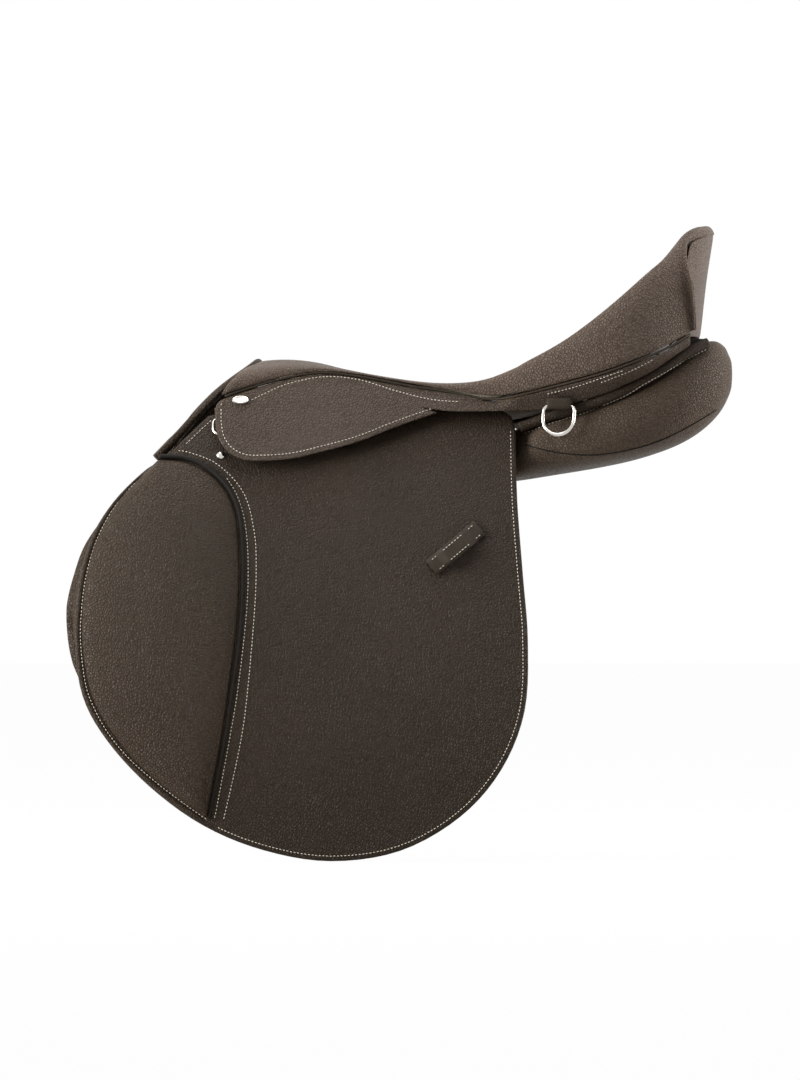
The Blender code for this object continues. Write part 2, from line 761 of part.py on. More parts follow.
def strip_edges(share):
    """Upper and lower edge of the skirt's fixed part, and its thickness direction, at a share."""
    u = STRIP_FROM + (STRIP_TO - STRIP_FROM) * share
    seam = seat_point(u, 1.0)
    drop = 2 * WELT_RADIUS + 2 * GAP + 0.4 * MM
    upper = seam + Vector((0, 0.6 * MM, -drop))
    x = upper.x
    low_z = HINGE_Z + SPLIT_GAP
    line = in_metres(STRIP_LOW_LINE)
    if x > line[0][0]:
        for (x0, z0), (x1, z1) in zip(line, line[1:]):
            if x0 < x <= x1:
                low_z = z0 + (z1 - z0) * (x - x0) / (x1 - x0)
    if x <= line[-1][0]:
        front = x - STRIP_FRONT_SLANT * max(0.0, 1 - share / STRIP_SLANT_SHARE)
        lower = Vector((front, layer(front, low_z, SKIRT_OUTER), low_z))
    else:
        welt = welt_at(x)
        ahead, behind = welt_at(x + 2 * MM), welt_at(x - 2 * MM)
        slope = (ahead.z - behind.z) / (ahead.x - behind.x)
        lift = (PANEL_WELT_RADIUS + 0.6 * MM) * math.hypot(1, slope)
        lower = Vector((x, welt.y + 2.6 * MM, max(welt.z + lift, line[-1][1])))
        blend = min((x - line[-1][0]) / (30 * MM), 1.0)
        side_y = layer(x, line[-1][1], SKIRT_OUTER)
        lower.y = side_y * (1 - blend) + lower.y * blend
    if upper.z < lower.z + 1.5 * MM:
        lower.z = upper.z - 1.5 * MM
    return upper, lower


def strip_point(upper, lower, share):
    """Point on the strip's outer face, which leaves the skirt without a bend and bulges a little."""
    slope = (layer(lower.x, lower.z + MM, SKIRT_OUTER) - layer(lower.x, lower.z, SKIRT_OUTER)) / MM
    height = upper.z - lower.z
    straight = (upper.y + lower.y) / 2
    swell = max(lower.y + slope * height / 2, straight) - straight
    middle = Vector((lower.x, straight + STRIP_FULLNESS * swell + STRIP_SWELL, lower.z + height / 2))
    return upper.lerp(middle, share).lerp(middle.lerp(lower, share), share)


def welt_at(x):
    """Middle of the panel's welt at a place along the saddle."""
    low, high = WELT_FROM, 1.0
    for _ in range(24):
        middle = (low + high) / 2
        if panel_welt_point(middle).x < x:
            low = middle
        else:
            high = middle
    return panel_welt_point(low)


def make_skirt_strip(side):
    """The skirt's upper part, which stays sewn to the seat and runs back as a narrow strip."""
    def face(u, v, depth):
        upper, lower = strip_edges(u)
        point = strip_point(upper, lower, v)
        point.y -= depth
        point.y *= side
        return point

    thick = SKIRT_THICKNESS * 1.15
    name = side_name("skirt_strip", side)
    pad(name, "grain_leather", lambda u, v: face(u, v, 0), lambda u, v: face(u, v, thick), 32, 4)


# Pads on the flank: two edges from top to bottom, in millimetres x, z

KNEE_PAD_FRONT = (
    (-227, 8), (-246, -11), (-264, -32), (-283, -70), (-291, -120), (-289, -165), (-277, -205),
    (-246, -247), (-212, -277), (-184, -296),
)
KNEE_PAD_REAR = (
    (-225, 9), (-200, 6), (-174, -9), (-158, -38), (-154, -88), (-156, -135), (-163, -190),
    (-170, -235), (-178, -275), (-182, -295),
)
KNEE_PAD_CROWN = 13 * MM
KNEE_ROLL_FRONT = (
    (-228, 0), (-252, -24), (-276, -50), (-293, -85), (-299.5, -120), (-296, -155), (-286, -182),
)
KNEE_ROLL_REAR = (
    (-222, -2), (-232, -30), (-244, -52), (-254, -85), (-260, -120), (-262, -155), (-264, -178),
)
THIGH_FRONT = ((60, -50), (56, -70), (54, -105), (55, -140), (60, -165))
THIGH_REAR = ((65, -48), (74, -66), (77, -105), (76, -140), (68, -166))


def flank_pad(name, finish, front, rear, base, edge, crown, side, rows, columns):
    """A stuffed pad on the flank: thin at its edge and crowned in the middle."""
    front, rear = in_metres(front), in_metres(rear)

    def place_at(u, v, height):
        a, b = along(front, u), along(rear, u)
        x, z = a[0] + (b[0] - a[0]) * v, a[1] + (b[1] - a[1]) * v
        return on_flank(side, x, z, height)

    def top(u, v):
        rise = (math.sin(math.pi * v) ** 0.55) * (math.sin(math.pi * u) ** 0.45)
        return place_at(u, v, base + edge + crown * rise)

    return pad(name, finish, top, lambda u, v: place_at(u, v, base), rows, columns)


def make_pads(side):
    flank_pad(
        side_name("knee_pad", side), "grain_leather", KNEE_PAD_FRONT, KNEE_PAD_REAR,
        FLAP_THICKNESS + GAP, 1.2 * MM, KNEE_PAD_CROWN, side, 14, 8,
    )
    roll_space = -SWEAT_OUTER - 2 * GAP
    flank_pad(
        side_name("knee_roll", side), "smooth_leather", KNEE_ROLL_FRONT, KNEE_ROLL_REAR,
        SWEAT_OUTER + GAP, 3 * MM, roll_space - 3 * MM, side, 12, 5,
    )
    flank_pad(
        side_name("thigh_block", side), "smooth_leather", THIGH_FRONT, THIGH_REAR,
        SWEAT_OUTER + GAP, 2 * MM, roll_space - 2 * MM, side, 8, 5,
    )


# Girth straps and the webs that carry them

STRAP_WIDTH = 26 * MM
STRAP_TOP = 9 * MM
STRAP_SHOULDER = 1.6 * MM
STRAP_BOTTOM = -282 * MM
STRAP_PLACES = (("front", -46 * MM), ("middle", -7 * MM), ("rear", 31 * MM))
WEB_BOTTOM = 9 * MM
WEB_FADE = 42 * MM
WEBS = (("front", -46 * MM, 28 * MM), ("rear", 12 * MM, 64 * MM))


def make_girth_strap(side, label, x):
    half = STRAP_WIDTH / 2
    tip = 14 * MM
    top = STRAP_TOP - SPLIT_GAP
    outline = [
        (x, top), (x - half, top - STRAP_SHOULDER), (x - half, STRAP_BOTTOM + tip),
        (x - half * 0.5, STRAP_BOTTOM), (x + half * 0.5, STRAP_BOTTOM), (x + half, STRAP_BOTTOM + tip),
        (x + half, top - STRAP_SHOULDER),
    ]
    name = side_name(f"girth_strap_{label}", side)
    strap = draped(name, "smooth_leather", outline, STRAP_INNER, STRAP_OUTER, side)
    set_origin(strap, on_flank(side, x, top, (STRAP_INNER + STRAP_OUTER) / 2))


def share_at(x):
    """Share of the seat's length at which its rim passes a place along the saddle."""
    low, high = 0.0, 1.0
    for _ in range(24):
        middle = (low + high) / 2
        if seat_point(middle, 0.3).x < x:
            low = middle
        else:
            high = middle
    return low


def make_girth_web(label, x, width):
    """Web from the straps on one side, up over the tree's springs and down to the other side."""
    def surface(u, v, extra):
        px = x + (u - 0.5) * width
        w = 2 * v - 1
        side = -1.0 if w < 0 else 1.0
        across = abs(w)
        if across > 0.5:
            z = WEB_FADE + (WEB_BOTTOM - WEB_FADE) * (across - 0.5) / 0.5
            return on_flank(side, px, z, STRAP_INNER + extra)
        edge = on_flank(side, px, WEB_FADE, STRAP_INNER + extra)
        share = across / 0.5
        over = under_tree_edge(px, side, share, extra)
        return over.lerp(edge, max(0.0, (share - 0.8) / 0.2))

    name = f"girth_web_{label}"
    pad(name, "web_fabric", lambda u, v: surface(u, v, 1.5 * MM), lambda u, v: surface(u, v, 0), 2, 20)


def under_tree_edge(x, side, share, extra):
    """Under the tree the web lies flat against its rails, from the middle out to its edge."""
    u = share_at(x)
    reach = 2 * TREE_HALF_COLUMNS / SEAT_COLUMNS * min(share / 0.8, 1.0)
    return under_seat(u, side * reach, LINING_TOP + LINING_THICKNESS + 1.2 * MM + 1.5 * MM - extra)


# Hardware: every piece is made in a frame of its own, a along the saddle, n outwards, s upwards

def flank_frame(side, x, z, offset):
    """Frame on the flank: first axis along it, second square to it outwards, third up along it."""
    origin = on_flank(side, x, z, offset)
    step = 1 * MM
    lengthwise = (on_flank(side, x + step, z, offset) - on_flank(side, x - step, z, offset)).normalized()
    upward = (on_flank(side, x, z + step, offset) - on_flank(side, x, z - step, offset)).normalized()
    outward = lengthwise.cross(upward).normalized()
    if outward.y * side < 0:
        outward = -outward
    upward = lengthwise.cross(outward).normalized()
    if upward.z < 0:
        upward = -upward
    frame = Matrix((lengthwise, outward, upward)).transposed().to_4x4()
    frame.translation = origin
    return frame


def settle(made, frame):
    """Move a finished piece from its own frame to its place on the saddle."""
    mesh = made.data
    mesh.transform(frame)
    if frame.determinant() < 0:
        mesh.flip_normals()
    return made


def cylinder(name, radius, length, centre, axis="N", sides=16, finish="forged_steel"):
    """A cylinder whose axis is A (along), N (outwards) or S (upwards) in its piece's frame."""
    bm = bmesh.new()
    turn = {"A": Matrix.Rotation(math.pi / 2, 3, "Y"), "N": Matrix.Rotation(math.pi / 2, 3, "X"),
            "S": Matrix.Identity(3)}[axis]
    bmesh.ops.create_cone(
        bm, cap_ends=True, segments=sides, radius1=radius, radius2=radius, depth=length
    )
    bmesh.ops.rotate(bm, cent=(0, 0, 0), matrix=turn, verts=bm.verts)
    bmesh.ops.translate(bm, vec=centre, verts=bm.verts)
    return place(name, finish_mesh(bm, name), finish)


def bevelled_block(name, size, centre, width, finish="forged_steel"):
    bm = bmesh.new()
    bmesh.ops.create_cube(bm, size=1.0)
    bmesh.ops.scale(bm, vec=size, verts=bm.verts)
    bmesh.ops.bevel(
        bm, geom=list(bm.edges), offset=width, segments=1, profile=0.5, affect="EDGES", material=-1
    )
    bmesh.ops.translate(bm, vec=centre, verts=bm.verts)
    return place(name, finish_mesh(bm, name, smooth=False), finish)


def make_stirrup_bar(side):
    """Forged bar on its plate, open behind, with a tongue for the catch's pin."""
    plate_n = -(BAR_DEPTH / 2 + BAR_SLOT + BAR_PLATE[1] / 2)
    front = -BAR_LENGTH / 2
    rear = BAR_LENGTH / 2
    bar = bevelled_block(side_name("stirrup_bar", side), (BAR_LENGTH, BAR_DEPTH, BAR_HEIGHT),
                         (0, 0, 0), 1.2 * MM)
    reach = BAR_SLOT + BAR_DEPTH / 2 + BAR_PLATE[1] / 2
    bridge = bevelled_block("bridge", (9 * MM, reach, BAR_HEIGHT),
                            (front + 5.7 * MM, -BAR_DEPTH / 4 - reach / 2, 0), 1.0 * MM)
    boolean(bar, bridge, "UNION")
    plate = bevelled_block("plate", BAR_PLATE, (5 * MM, plate_n, 0), 0.8 * MM)
    boolean(bar, plate, "UNION")
    tongue = block("tongue", (TONGUE_REACH + 3 * MM, TONGUE_DEPTH, BAR_HEIGHT * 0.8),
                   (rear + TONGUE_REACH / 2 - 1.5 * MM, 0, 0))
    boolean(bar, tongue, "UNION")
    hole = cylinder("hole", PIN_RADIUS + GAP, 10 * MM, (rear + PIN_FROM_END, 0, 0), "N", 14)
    boolean(bar, hole, "DIFFERENCE")
    settle(bar, flank_frame(side, BAR_X, BAR_Z, BAR_OUT))


def make_catch(side):
    """Forked thumb piece that closes the bar's open end, with its hinge pin."""
    pin_a = BAR_LENGTH / 2 + PIN_FROM_END
    half = BAR_HEIGHT / 2
    head = cylinder(side_name("bar_catch", side), half, BAR_DEPTH, (0, 0, 0), "N", 20)
    arm = block("arm", (CATCH_LENGTH - half, BAR_DEPTH - 0.02 * MM, BAR_HEIGHT * 0.86),
                ((CATCH_LENGTH - half) / 2, 0, 0))
    boolean(head, arm, "UNION")
    slot_reach = TONGUE_REACH - PIN_FROM_END + 1.6 * MM
    slot = block("slot", (slot_reach + 8 * MM, TONGUE_DEPTH + 2 * GAP, 20 * MM),
                 ((slot_reach - 8 * MM) / 2, 0, 0))
    boolean(head, slot, "DIFFERENCE")
    pin = cylinder("pin", PIN_RADIUS, BAR_DEPTH - 0.4 * MM, (0, 0, 0), "N", 14)
    boolean(head, pin, "UNION")
    frame = flank_frame(side, BAR_X, BAR_Z, BAR_OUT) @ Matrix.Translation((pin_a, 0, 0))
    settle(head, frame)
    set_origin(head, frame.translation)


def d_line(width, height, radius_steps=10):
    """Middle line of a D-ring hanging from its straight bar at the origin."""
    half = width / 2
    points = [(-half, 0, 0), (0, 0, 0), (half, 0, 0)]
    drop = height - half
    points.append((half, 0, -drop * 0.5))
    for step in range(radius_steps + 1):
        angle = -math.pi * step / radius_steps
        points.append((half * math.cos(angle), 0, -drop + half * math.sin(angle)))
    points.append((-half, 0, -drop * 0.5))
    return points


REAR_RING_X, REAR_RING_Z = 121 * MM, 55.5 * MM
REAR_RING_WIDTH, REAR_RING_HEIGHT = 27.2 * MM, 26.5 * MM
REAR_RING_WIRE = 2.0 * MM
REAR_RING_TILT = math.radians(17)
CHAPE_SEAT = 0.2 * MM
CHAPE_WIDTH, CHAPE_HEIGHT, CHAPE_DEPTH = 22 * MM, 10 * MM, 6.8 * MM


def strip_face(x, z):
    """Point at height z on the outer face of the skirt's rear strip."""
    low, high = 0.0, 1.0
    for _ in range(24):
        middle = (low + high) / 2
        if strip_edges(middle)[0].x < x:
            low = middle
        else:
            high = middle
    upper, lower = strip_edges(low)
    share = (upper.z - z) / (upper.z - lower.z)
    return Vector((x, strip_point(upper, lower, share).y, z))


def rear_ring_frame(side):
    """Frame at the rear D-ring's straight bar, turned to follow the skirt's rear strip."""
    half = CHAPE_WIDTH / 2
    top = REAR_RING_Z + CHAPE_HEIGHT - CHAPE_DEPTH / 2
    start, stop = strip_face(REAR_RING_X - half, top), strip_face(REAR_RING_X + half, top)
    run = (stop - start).normalized()
    out = Vector((-run.y, run.x, 0))
    middle = (start + stop) / 2 + out * (GAP + CHAPE_SEAT + CHAPE_DEPTH / 2)
    frame = Matrix(((run.x, out.x, 0, middle.x), (side * run.y, side * out.y, 0, side * middle.y),
                    (0, 0, 1, REAR_RING_Z), (0, 0, 0, 1)))
    return frame


def make_rear_ring(side):
    frame = rear_ring_frame(side)
    chape = bevelled_block(
        side_name("rear_ring_chape", side), (CHAPE_WIDTH, CHAPE_DEPTH, CHAPE_HEIGHT),
        (0, 0, CHAPE_HEIGHT / 2 - CHAPE_DEPTH / 2), 1.4 * MM, "smooth_leather",
    )
    hole = cylinder("ring_hole", REAR_RING_WIRE + GAP, CHAPE_WIDTH * 1.5, (0, 0, 0), "A", 14)
    boolean(chape, hole, "DIFFERENCE")
    settle(chape, frame)
    ring = tube(
        side_name("rear_ring", side), "nickel",
        d_line(REAR_RING_WIDTH, REAR_RING_HEIGHT), REAR_RING_WIRE, True, 1,
    )
    settle(ring, frame @ Matrix.Rotation(REAR_RING_TILT, 4, "X"))
    set_origin(ring, frame.translation)


FRONT_RING_X, FRONT_RING_Z = -171 * MM, 44 * MM
FRONT_RING_WIDTH, FRONT_RING_HEIGHT = 15 * MM, 16 * MM
FRONT_RING_WIRE = 1.4 * MM
STAPLE = (8 * MM, 5.0 * MM, 9 * MM)


def front_ring_frame(side):
    return flank_frame(side, FRONT_RING_X, FRONT_RING_Z, FLAP_THICKNESS + GAP + STAPLE[1] / 2)


def make_front_ring(side):
    frame = front_ring_frame(side)
    staple = bevelled_block(
        side_name("front_staple", side), STAPLE, (0, 0, STAPLE[2] / 2 - STAPLE[1] / 2), 0.9 * MM, "nickel"
    )
    hole = cylinder("staple_hole", FRONT_RING_WIRE + GAP, 20 * MM, (0, 0, 0), "A", 12)
    boolean(staple, hole, "DIFFERENCE")
    settle(staple, frame)
    ring = tube(
        side_name("front_ring", side), "nickel",
        d_line(FRONT_RING_WIDTH, FRONT_RING_HEIGHT, 8), FRONT_RING_WIRE, True, 1,
    )
    settle(ring, frame)
    set_origin(ring, frame.translation)


NAIL_X, NAIL_Z = -155 * MM, 60 * MM
NAIL_WIDTH, NAIL_HEIGHT, NAIL_DEPTH = 14.6 * MM, 8.2 * MM, 2.4 * MM
NAIL_SEAT = 0.2 * MM
STUD_X, STUD_Z, STUD_RADIUS, STUD_DEPTH = -172 * MM, 13 * MM, 4 * MM, 3.2 * MM


def dome(name, finish, width, height, depth, frame):
    """A low dome with a flat back: the outer half of a squashed sphere."""
    bm = bmesh.new()
    bmesh.ops.create_uvsphere(bm, u_segments=20, v_segments=10, radius=1.0)
    bmesh.ops.rotate(bm, cent=(0, 0, 0), matrix=Matrix.Rotation(-math.pi / 2, 3, "X"), verts=bm.verts)
    bmesh.ops.scale(bm, vec=(width / 2, depth, height / 2), verts=bm.verts)
    geometry = list(bm.verts) + list(bm.edges) + list(bm.faces)
    bmesh.ops.bisect_plane(bm, geom=geometry, dist=1e-6, plane_co=(0, depth * 0.25, 0),
                           plane_no=(0, -1, 0), clear_outer=True)
    bmesh.ops.holes_fill(bm, edges=[edge for edge in bm.edges if edge.is_boundary])
    bmesh.ops.translate(bm, vec=(0, -depth * 0.25, 0), verts=bm.verts)
    made = place(name, finish_mesh(bm, name), finish)
    return settle(made, frame)


def nail_frame(side):
    """Frame at the nail, square to the skirt's fixed part."""
    step = 2 * MM
    middle = strip_face(NAIL_X, NAIL_Z)
    run = (strip_face(NAIL_X + step, NAIL_Z) - strip_face(NAIL_X - step, NAIL_Z)).normalized()
    rise = strip_face(NAIL_X, NAIL_Z + step) - strip_face(NAIL_X, NAIL_Z - step)
    out = rise.cross(run).normalized()
    up = run.cross(out)
    spot = middle + out * (GAP + NAIL_SEAT)
    rows = [(run[i], out[i], up[i], spot[i]) for i in range(3)]
    rows[1] = tuple(side * value for value in rows[1])
    return Matrix((*rows, (0, 0, 0, 1)))


def make_studs(side):
    frame = nail_frame(side)
    dome(side_name("saddle_nail", side), "nickel", NAIL_WIDTH, NAIL_HEIGHT, NAIL_DEPTH, frame)
    frame = flank_frame(side, STUD_X, STUD_Z, FLAP_THICKNESS + GAP)
    dome(side_name("dome_stud", side), "nickel", 2 * STUD_RADIUS, 2 * STUD_RADIUS, STUD_DEPTH, frame)


KEEPER_FROM, KEEPER_TO = (50.9, -49.5), (10.1, -83.8)
KEEPER_WIDTH, KEEPER_LIFT, KEEPER_THICKNESS = 15.5 * MM, 5.0 * MM, 2.4 * MM
KEEPER_FOOT = 0.16


def make_keeper(side):
    """Loop for the stirrup leather's end: flat feet on the flap and a raised middle."""
    start, stop = [Vector((x * MM, z * MM)) for x, z in (KEEPER_FROM, KEEPER_TO)]
    run = (stop - start).normalized()
    across = Vector((-run.y, run.x))

    def face(u, v, depth):
        flat = start.lerp(stop, u) + across * KEEPER_WIDTH * (v - 0.5)
        inward = min(u, 1 - u)
        rise = min(max((inward - KEEPER_FOOT) / 0.16, 0.0), 1.0)
        rise = rise * rise * (3 - 2 * rise)
        return on_flank(side, flat.x, flat.y, FLAP_THICKNESS + GAP + KEEPER_LIFT * rise + depth)

    name = side_name("leather_keeper", side)
    pad(name, "smooth_leather", lambda u, v: face(u, v, KEEPER_THICKNESS),
        lambda u, v: face(u, v, 0), 20, 1)


def build_saddle():
    make_seat_cover()
    make_cantle_facing()
    make_seat_insides()
    make_tree()
    make_metal_plates()
    make_gullet_lining()
    make_head()
    make_seat_welt()
    for label, x, width in WEBS:
        make_girth_web(label, x, width)
    for side in (LEFT, RIGHT):
        make_panel(side)
        make_panel_welt(side)
        make_sweat_flap(side)
        make_flap(side)
        make_skirt(side)
        make_skirt_strip(side)
        make_pads(side)
        for label, x in STRAP_PLACES:
            make_girth_strap(side, label, x)
        make_stirrup_bar(side)
        make_catch(side)
        make_rear_ring(side)
        make_front_ring(side)
        make_studs(side)
        make_keeper(side)


build_saddle()
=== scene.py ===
# %% [markdown]
# # An all-purpose saddle
# This notebook dresses the plain solids of a saddle in leather, thread and nickel.
# The solids are loaded first and stay where they are. Every soft piece then gets a
# finer form of its own, made with bmesh operators, and every surface a node material.

# %% Load the solids
import json
import math

import bmesh
import bpy
from mathutils import Matrix, Vector
from mathutils.bvhtree import BVHTree


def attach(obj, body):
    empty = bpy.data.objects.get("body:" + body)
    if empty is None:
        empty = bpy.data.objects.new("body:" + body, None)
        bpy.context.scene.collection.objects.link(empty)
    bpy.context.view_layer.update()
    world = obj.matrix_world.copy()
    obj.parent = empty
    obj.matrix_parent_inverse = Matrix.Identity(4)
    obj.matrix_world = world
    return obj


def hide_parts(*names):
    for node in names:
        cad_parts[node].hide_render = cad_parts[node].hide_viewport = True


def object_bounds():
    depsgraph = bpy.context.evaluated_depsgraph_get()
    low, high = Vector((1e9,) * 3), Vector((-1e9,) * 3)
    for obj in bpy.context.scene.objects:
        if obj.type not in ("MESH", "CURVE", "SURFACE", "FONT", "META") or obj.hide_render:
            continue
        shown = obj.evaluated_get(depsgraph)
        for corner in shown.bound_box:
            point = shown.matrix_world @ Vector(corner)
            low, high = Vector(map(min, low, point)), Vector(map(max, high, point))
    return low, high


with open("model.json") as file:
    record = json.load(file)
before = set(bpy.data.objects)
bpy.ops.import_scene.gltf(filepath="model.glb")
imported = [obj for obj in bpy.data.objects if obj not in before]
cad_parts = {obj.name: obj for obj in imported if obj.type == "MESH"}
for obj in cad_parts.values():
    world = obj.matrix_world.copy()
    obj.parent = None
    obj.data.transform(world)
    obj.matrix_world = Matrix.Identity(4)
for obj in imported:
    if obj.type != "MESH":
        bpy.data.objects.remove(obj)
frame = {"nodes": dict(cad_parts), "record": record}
cad_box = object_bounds()
MM = 0.001
LEFT, RIGHT = -1.0, 1.0
SIDES = ((LEFT, "left"), (RIGHT, "right"))
print("solids loaded:", len(frame["nodes"]))

# %% [markdown]
# ## Camera
# The photograph looks straight at the near side with a long lens. One pixel of it is
# 0.86 mm on the saddle, so the picture's height sets the lens once the distance is chosen.

# %% Camera
PICTURE_ROWS, MM_PER_ROW = 1080, 0.86
PICTURE_HEIGHT = PICTURE_ROWS * MM_PER_ROW * MM
PICTURE_CENTRE = Vector((-17.2 * MM, 0, -60.2 * MM))
NEAR_PLANE = 120 * MM
CAMERA_DISTANCE, CAMERA_REACH = 9.0, 60.0
SENSOR_HEIGHT = 24.0


def add_object(name, data):
    """A new object in the scene."""
    made = bpy.data.objects.new(name, data)
    bpy.context.scene.collection.objects.link(made)
    return made


lens_data = bpy.data.cameras.new("long_lens")
lens_data.sensor_fit = "VERTICAL"
lens_data.sensor_height = SENSOR_HEIGHT
lens_data.lens = SENSOR_HEIGHT * (CAMERA_DISTANCE - NEAR_PLANE) / PICTURE_HEIGHT
lens_data.clip_end = CAMERA_REACH
camera = add_object("long_lens", lens_data)
camera.location = PICTURE_CENTRE + Vector((0, -CAMERA_DISTANCE, 0))
camera.rotation_euler = (math.radians(90), 0, 0)
bpy.context.scene.camera = camera
bpy.context.scene.view_settings.view_transform = "Standard"
print("lens:", round(lens_data.lens), "mm")

# %% [markdown]
# ## Floor and light
# Soft boxes stand over the saddle and at both ends of it, and little light comes from the
# camera's side. So what faces up, forwards or back is light and the flap's flat middle dark,
# as in the photograph. The floor is pale, catches the shadow, and shows white to the camera.

# %% Floor and light
FLOOR_Z = cad_box[0][2] - 1 * MM
FLOOR_SIZE, FLOOR_COLOUR, FLOOR_WHITE_SHARE = 14.0, (0.62, 0.62, 0.62), 0.98
ROOM_STRENGTH = 0.12
LAMPS = (  # name, place, aim, size, watts
    ("overhead_softbox", (0.0, 0.05, 2.2), (0, 0, 0), 2.2, 66),
    ("left_softbox", (-2.2, -0.5, 0.6), (0, 0, -0.05), 1.4, 104),
    ("right_softbox", (2.2, 0.0, 0.5), (0, 0, 0), 1.4, 74),
)


def new_material(name):
    """A material with nodes, its tree and its main shader."""
    made = bpy.data.materials.new(name)
    made.use_nodes = True
    return made, made.node_tree, made.node_tree.nodes["Principled BSDF"]


def set_inputs(node, **values):
    """Set a node's inputs; an underscore in a word stands for a space in the input's name."""
    for word, value in values.items():
        node.inputs[word.replace("_", " ")].default_value = value


def math_node(tree, operation, first, second, clamp=False):
    """A Math node whose two inputs are sockets or numbers; returns its output."""
    node = tree.nodes.new("ShaderNodeMath")
    node.operation = operation
    node.use_clamp = clamp
    for socket, value in zip(node.inputs, (first, second)):
        if isinstance(value, (int, float)):
            socket.default_value = value
        else:
            tree.links.new(value, socket)
    return node.outputs[0]


def background_ray(tree):
    """1 on camera, glossy and transmission rays, which see the white background, else 0."""
    path = tree.nodes.new("ShaderNodeLightPath")
    total = path.outputs["Is Camera Ray"]
    for label in ("Is Glossy Ray", "Is Transmission Ray"):
        total = math_node(tree, "ADD", total, path.outputs[label], True)
    return total


def mix_shaders(tree, share, first, second, end):
    """Show the second shader's share over the first on the end node's surface."""
    mix = tree.nodes.new("ShaderNodeMixShader")
    for socket, value in zip(mix.inputs, (share, first.outputs[0], second.outputs[0])):
        tree.links.new(value, socket)
    tree.links.new(mix.outputs[0], tree.nodes[end].inputs["Surface"])


bm = bmesh.new()
bmesh.ops.create_grid(bm, x_segments=1, y_segments=1, size=FLOOR_SIZE)
bmesh.ops.translate(bm, vec=(0, 0, FLOOR_Z), verts=bm.verts)
floor_mesh = bpy.data.meshes.new("studio_floor")
bm.to_mesh(floor_mesh)
bm.free()
studio_white, tree, shader = new_material("studio_white")
set_inputs(shader, Base_Color=(*FLOOR_COLOUR, 1), Roughness=1.0, Specular_IOR_Level=0.0)
share = math_node(tree, "MULTIPLY", background_ray(tree), FLOOR_WHITE_SHARE)
mix_shaders(tree, share, shader, tree.nodes.new("ShaderNodeEmission"), "Material Output")
floor_mesh.materials.append(studio_white)
add_object("studio_floor", floor_mesh)

world = bpy.data.worlds.new("studio_room")
world.use_nodes = True
bpy.context.scene.world = world
tree = world.node_tree
room, white = tree.nodes["Background"], tree.nodes.new("ShaderNodeBackground")
set_inputs(room, Color=(1, 1, 1, 1), Strength=ROOM_STRENGTH)
set_inputs(white, Color=(1, 1, 1, 1), Strength=1.0)
mix_shaders(tree, background_ray(tree), room, white, "World Output")

for name, place, aim, size, watts in LAMPS:
    lamp = bpy.data.lights.new(name, "AREA")
    lamp.shape = "SQUARE"
    lamp.size = size
    lamp.energy = watts
    hung = add_object(name, lamp)
    hung.location = place
    hung.rotation_euler = (Vector(aim) - Vector(place)).to_track_quat("-Z", "Y").to_euler()
print("floor at", round(FLOOR_Z, 4), "lamps:", len(LAMPS))

# %% [markdown]
# ## Leather
# Synthetic saddle leather is pressed with a fine pebble grain. Cells of a Voronoi texture,
# slightly bent by noise, give the pebbles, and the lines between them the creases. The
# grain is one node group, so the smooth and the grained leathers share it at other scales.

# %% Node groups for grain and for tone
BEND_SCALE, BEND_BY = 0.45, (0.0012, 0.0012, 0.0012)
DOME_POWER = 0.6
FINE_SCALE, FINE_HEIGHT = 3.0, 0.25


def new_group(name, inputs, outputs):
    """An empty shader node group with named number sockets, its input and its output node."""
    group = bpy.data.node_groups.new(name, "ShaderNodeTree")
    for label, value in inputs:
        group.interface.new_socket(
            name=label, in_out="INPUT", socket_type="NodeSocketFloat").default_value = value
    for label in outputs:
        group.interface.new_socket(name=label, in_out="OUTPUT", socket_type="NodeSocketFloat")
    return group, group.nodes.new("NodeGroupInput"), group.nodes.new("NodeGroupOutput")


def build_grain_group():
    """Pebbles between creases: the grain's height, and how deep in a crease a point lies."""
    group, start, stop = new_group(
        "pebble_grain", (("Scale", 800.0), ("Softness", 0.25)), ("Height", "Crease"))
    place = group.nodes.new("ShaderNodeTexCoord").outputs["Object"]
    bend = group.nodes.new("ShaderNodeTexNoise")
    set_inputs(bend, Detail=2.0)
    group.links.new(place, bend.inputs["Vector"])
    bend_scale = math_node(group, "MULTIPLY", start.outputs["Scale"], BEND_SCALE)
    group.links.new(bend_scale, bend.inputs["Scale"])
    shift = group.nodes.new("ShaderNodeVectorMath")
    shift.operation = "MULTIPLY_ADD"
    shift.inputs[1].default_value = BEND_BY
    group.links.new(bend.outputs["Color"], shift.inputs[0])
    group.links.new(place, shift.inputs[2])
    cells = group.nodes.new("ShaderNodeTexVoronoi")
    cells.feature = "DISTANCE_TO_EDGE"
    group.links.new(shift.outputs[0], cells.inputs["Vector"])
    group.links.new(start.outputs["Scale"], cells.inputs["Scale"])
    rise = math_node(group, "DIVIDE", cells.outputs["Distance"], start.outputs["Softness"], True)
    dome = math_node(group, "POWER", rise, DOME_POWER)
    fine = group.nodes.new("ShaderNodeTexNoise")
    set_inputs(fine, Detail=3.0)
    group.links.new(place, fine.inputs["Vector"])
    fine_scale = math_node(group, "MULTIPLY", start.outputs["Scale"], FINE_SCALE)
    group.links.new(fine_scale, fine.inputs["Scale"])
    fine_height = math_node(group, "MULTIPLY", fine.outputs["Fac"], FINE_HEIGHT)
    group.links.new(math_node(group, "ADD", dome, fine_height), stop.inputs["Height"])
    group.links.new(math_node(group, "SUBTRACT", 1.0, rise, True), stop.inputs["Crease"])
    return group


